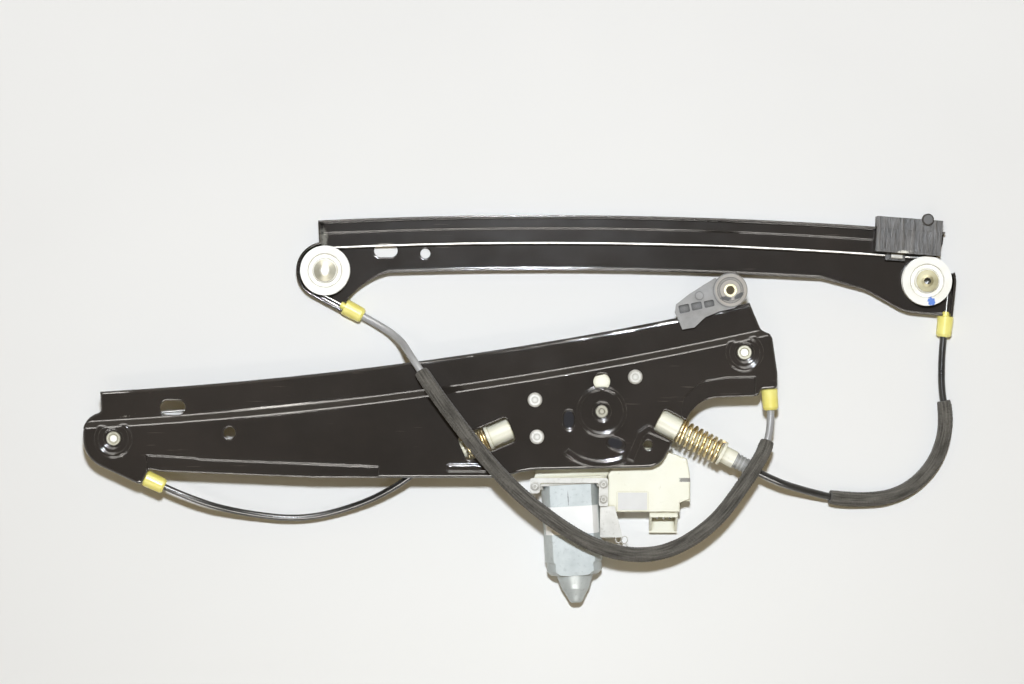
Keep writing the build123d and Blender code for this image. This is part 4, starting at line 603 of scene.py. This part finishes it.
WIRE_PITCH, WIRE_DEPTH = 0.0015, 0.022    # turns of flat wire that show through the skin
NICK_PITCH = 0.0021
RIDGES = ((5, 0.022, 0.4), (9, 0.030, 1.9), (17, 0.014, 0.7), (31, 0.006, 2.6))


def wound(at, end, angle):
    """A conduit's skin shows the turns of the flat wire that it is wound from."""
    return 1 - WIRE_DEPTH * (0.5 + 0.5 * sin(2 * pi * at / WIRE_PITCH + angle)) ** 3


def foam_outline(seam):
    """Outline of a split foam sleeve: ridges lengthwise, a seam, nicked all along."""
    def outline(at, end, angle):
        swell = 1 - sum(size * (0.5 + 0.5 * sin(number * angle + turn + 9 * at))
                        for number, size, turn in RIDGES)
        split = abs(((angle - seam) + pi) % (2 * pi) - pi)
        swell -= 0.16 * max(0.0, 1 - split / 0.13)
        nick = (at / NICK_PITCH + 0.18 * sin(2 * angle)) % 1.0
        swell -= 0.09 * max(0.0, 1 - nick / 0.45)
        swell -= 0.02 * (0.5 + 0.5 * sin(210 * at + 3 * sin(57 * at)))
        torn = 0.0025 + 0.0016 * sin(2 * angle + 1) + 0.0007 * sin(7 * angle)
        return swell * (0.90 + 0.10 * min(1.0, end / torn))
    return outline


# Name, CAD node, where the sleeve starts and ends as shares of its conduit, radius and seam.
SLEEVES = {
    "conduit_a": ("sleeve_a", "foam_sleeve_a", 0.180, 0.940, 0.0054, 1.2),
    "conduit_b": ("sleeve_b", "foam_sleeve_b", 0.200, 0.720, 0.0054, 1.4),
}


def foam_sleeve(line, name, stands_for, start, finish, radius, seam):
    """A split foam sleeve over a stretch of a conduit's line."""
    points = stretch_of(line, start, finish, 0.0006)
    sleeve = piece(name, tube_mesh(name, points, radius, 72, foam_outline(seam)), "foam", "frame")
    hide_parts(stands_for)
    return sleeve


def conduit(name, radius, paint, route):
    """One conduit, a stiff cord from end to end, with its foam sleeve if it has one."""
    line = spline_line(name, route)
    path = stretch_of(line, 0, 1, 0.0004)
    tube = piece(name + "_tube", tube_mesh(name + "_tube", path, radius, 20, wound), paint,
                 "frame")
    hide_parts(name)
    on_it = [foam_sleeve(line, *SLEEVES[name])] if name in SLEEVES else []


for name, facts in ROUTES.items():
    conduit(name, *facts)


# ------------------------------------------------------------------ springs
def coil_spring(name, node, origin, along, start, finish, outer, wire, turns):
    """Round-wire compression spring with a closed turn at each end.

    start and finish are distances along its line from the origin, and wire is the wire's radius.
    """
    side = V((-along.y, along.x, 0))
    over = V((0, 0, 1))
    steps = 28
    closed = wire * 1.9
    free = finish - start - 2 * wire - 2 * closed
    points = []
    for i in range((turns + 2) * steps + 1):
        turn = i / steps
        open_turns = min(max(turn - 1, 0), turns)
        at = closed * (min(turn, 1) + max(turn - turns - 1, 0)) + free * open_turns / turns
        angle = 2 * pi * turn
        points.append(origin + along * (start + wire + at)
                      + (side * cos(angle) + over * sin(angle)) * (outer - wire))
    spring = piece(name, tube_mesh(name, points, wire, 12), "spring_steel", "frame")
    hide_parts(node)
    return spring


def heading(degrees):
    """Unit vector in the floor's plane, by its angle from the x axis."""
    return V((cos(radians(degrees)), sin(radians(degrees)), 0))


right_start, right_along = V((0.063338, 0.010920, 0.028)), heading(-28)
left_start, left_along = V((0.051725, 0.011427, 0.028)), heading(203)
right_spring = coil_spring("right_coil_spring", "right_spring", right_start, right_along,
                           start=0.05315, finish=0.08585, outer=0.0088, wire=0.00105, turns=7)
left_spring = coil_spring("left_coil_spring", "left_spring", left_start, left_along,
                          start=0.08015, finish=0.09685, outer=0.0076, wire=0.00095, turns=5)
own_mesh(right_spring)
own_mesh(left_spring)

# ------------------------------------------------------------------ labels
LABEL_LIFT, LABEL_THICK = 0.00003, 0.00009
motor_foot = V((0.0324883, -0.00237042, 0.014))
motor_along = V((0.0558215, -0.9984408, 0))
motor_side = V((0.9984408, 0.0558215, 0))
can_label_start, can_label_finish, can_label_half = 0.0645, 0.0838, 0.0190


def on_can(face):
    """Outer faces of the can that look up, from the flat down to where the round sides turn."""
    return face.normal.z > 0.35 and face.calc_center_median().z > 0.0215


skin("can_label", "motor_can", "label_paper", "frame",
     [(motor_foot + motor_along * can_label_start, -motor_along),
      (motor_foot + motor_along * can_label_finish, motor_along),
      (motor_foot - motor_side * can_label_half, -motor_side),
      (motor_foot + motor_side * can_label_half, motor_side)],
     on_can, LABEL_LIFT, LABEL_THICK)

PAD_AT, PAD_SIZE = V((0.0786, -0.0635, 0)), V((0.0214, 0.0132, 0))


def on_pad(face):
    """Top of the raised pad on the electronics box."""
    off = face.calc_center_median() - PAD_AT
    return (face.normal.z > 0.9 and abs(off.x) < PAD_SIZE.x / 2
            and abs(off.y) < PAD_SIZE.y / 2)


skin("pad_label", "electronics_housing", "grey_label", "frame",
     [(PAD_AT + V((side.x * PAD_SIZE.x * 0.47, side.y * PAD_SIZE.y * 0.46, 0)), side)
      for side in (V((1, 0, 0)), V((-1, 0, 0)), V((0, 1, 0)), V((0, -1, 0)))],
     on_pad, LABEL_LIFT, LABEL_THICK)


# ------------------------------------------------------------------ wire clip
def wire_clip():
    """Clip of bent wire past the end of the small plate: two eyes side by side."""
    low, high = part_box("shield_plate")
    wire, eye, steps = 0.0004, 0.0021, 40
    first = V((high.x - 0.0028, low.y - 0.0012, low.z + 2 * wire))
    second = first + V((2 * eye, -0.0004, 0))
    points = []
    for middle, begin, way in ((first, 0, 1), (second, pi, -1)):
        for i in range(steps + 1):
            angle = begin + way * 2 * pi * i / steps
            rise = wire * 1.2 * len(points) / steps
            points.append(middle + V((cos(angle) * eye, sin(angle) * eye * 1.15, rise)))
    piece("wire_clip", tube_mesh("wire_clip", points, wire, 10), "zinc_steel", "frame")


wire_clip()


# ------------------------------------------------------------------ stage
def floor():
    """Pale paper just under the part, with a painted pool of light round the drive."""
    mesh = bpy.data.meshes.new("floor")
    bm = bmesh.new()
    bmesh.ops.create_grid(bm, x_segments=2, y_segments=2, size=3.0)
    bm.to_mesh(mesh)
    bm.free()
    obj = bpy.data.objects.new("floor", mesh)
    bpy.context.scene.collection.objects.link(obj)
    paper = Paint("paper", (0.80, 0.80, 0.80), 0.9, specular=0.1)
    paper.tint(paper.noise(3, 3), (0.745, 0.740, 0.738), (0.765, 0.760, 0.758))
    # painted pool of light: paler paper round the drive
    paper.lay(paper.patch((0.03, -0.16, 0), (0.22, 0.20, 1), 0, 2.4), (0.86, 0.86, 0.855))
    paper.bump(paper.noise(900, 2), 0.03, 0.0002)
    mesh.materials.append(paper.mat)
    obj.location.z = -0.0002


def surroundings():
    """A dim room for reflections, a warm weak fill for the shadows, a pale background."""
    world = bpy.context.scene.world or bpy.data.worlds.new("world")
    bpy.context.scene.world = world
    world.use_nodes = True
    tree = world.node_tree
    tree.nodes.clear()
    new = tree.nodes.new
    path = new("ShaderNodeLightPath")
    fill, room, pale = (new("ShaderNodeBackground") for _ in range(3))
    fill.inputs["Color"].default_value = (0.23, 0.18, 0.095, 1)
    pale.inputs["Color"].default_value = (0.92, 0.92, 0.92, 1)
    up = new("ShaderNodeSeparateXYZ")
    tree.links.new(new("ShaderNodeTexCoord").outputs["Generated"], up.inputs[0])
    ramp = new("ShaderNodeValToRGB")
    ramp.color_ramp.elements[0].color = (0.90, 0.88, 0.84, 1)
    ramp.color_ramp.elements[1].color = (0.035, 0.032, 0.029, 1)
    for at, color in ((0.35, (0.50, 0.46, 0.40, 1)), (0.72, (0.14, 0.12, 0.10, 1)),
                      (0.90, (0.05, 0.045, 0.04, 1))):
        ramp.color_ramp.elements.new(at).color = color
    tree.links.new(up.outputs["Z"], ramp.inputs["Fac"])
    tree.links.new(ramp.outputs["Color"], room.inputs["Color"])
    shine, seen = new("ShaderNodeMixShader"), new("ShaderNodeMixShader")
    tree.links.new(path.outputs["Is Glossy Ray"], shine.inputs["Fac"])
    tree.links.new(fill.outputs[0], shine.inputs[1])
    tree.links.new(room.outputs[0], shine.inputs[2])
    tree.links.new(path.outputs["Is Camera Ray"], seen.inputs["Fac"])
    tree.links.new(shine.outputs[0], seen.inputs[1])
    tree.links.new(pale.outputs[0], seen.inputs[2])
    tree.links.new(seen.outputs[0], new("ShaderNodeOutputWorld").inputs["Surface"])


LIT_POINT = V((0, 0, 0))                  # what every lamp is aimed at


def lamp(name, at, size, power, color):
    """Round area lamp at a place."""
    light = bpy.data.lights.new(name, "AREA")
    light.shape = "DISK"
    light.size = size
    light.energy = power
    light.color = color
    obj = bpy.data.objects.new(name, light)
    bpy.context.scene.collection.objects.link(obj)
    obj.location = at
    obj.rotation_euler = (LIT_POINT - V(at)).to_track_quat("-Z", "Y").to_euler()
    return obj


floor()
surroundings()
lamp("flash", (0.0, 0.50, 2.30), 0.16, 54, (0.880, 0.935, 1.0))
lamp("glint", (-0.25, -0.62, 2.10), 0.10, 2.0, (1.0, 0.96, 0.90))
for name, side in (("panel_up", 1), ("panel_down", -1)):
    panel = lamp(name, (0, side * 1.5, 1.7), 1.7, 62, (1.0, 0.97, 0.92))
    panel.data.shape = "RECTANGLE"
    panel.data.size_y = 0.6
    panel.visible_diffuse = False         # it shows in gloss alone
bpy.context.scene.view_settings.view_transform = "Standard"
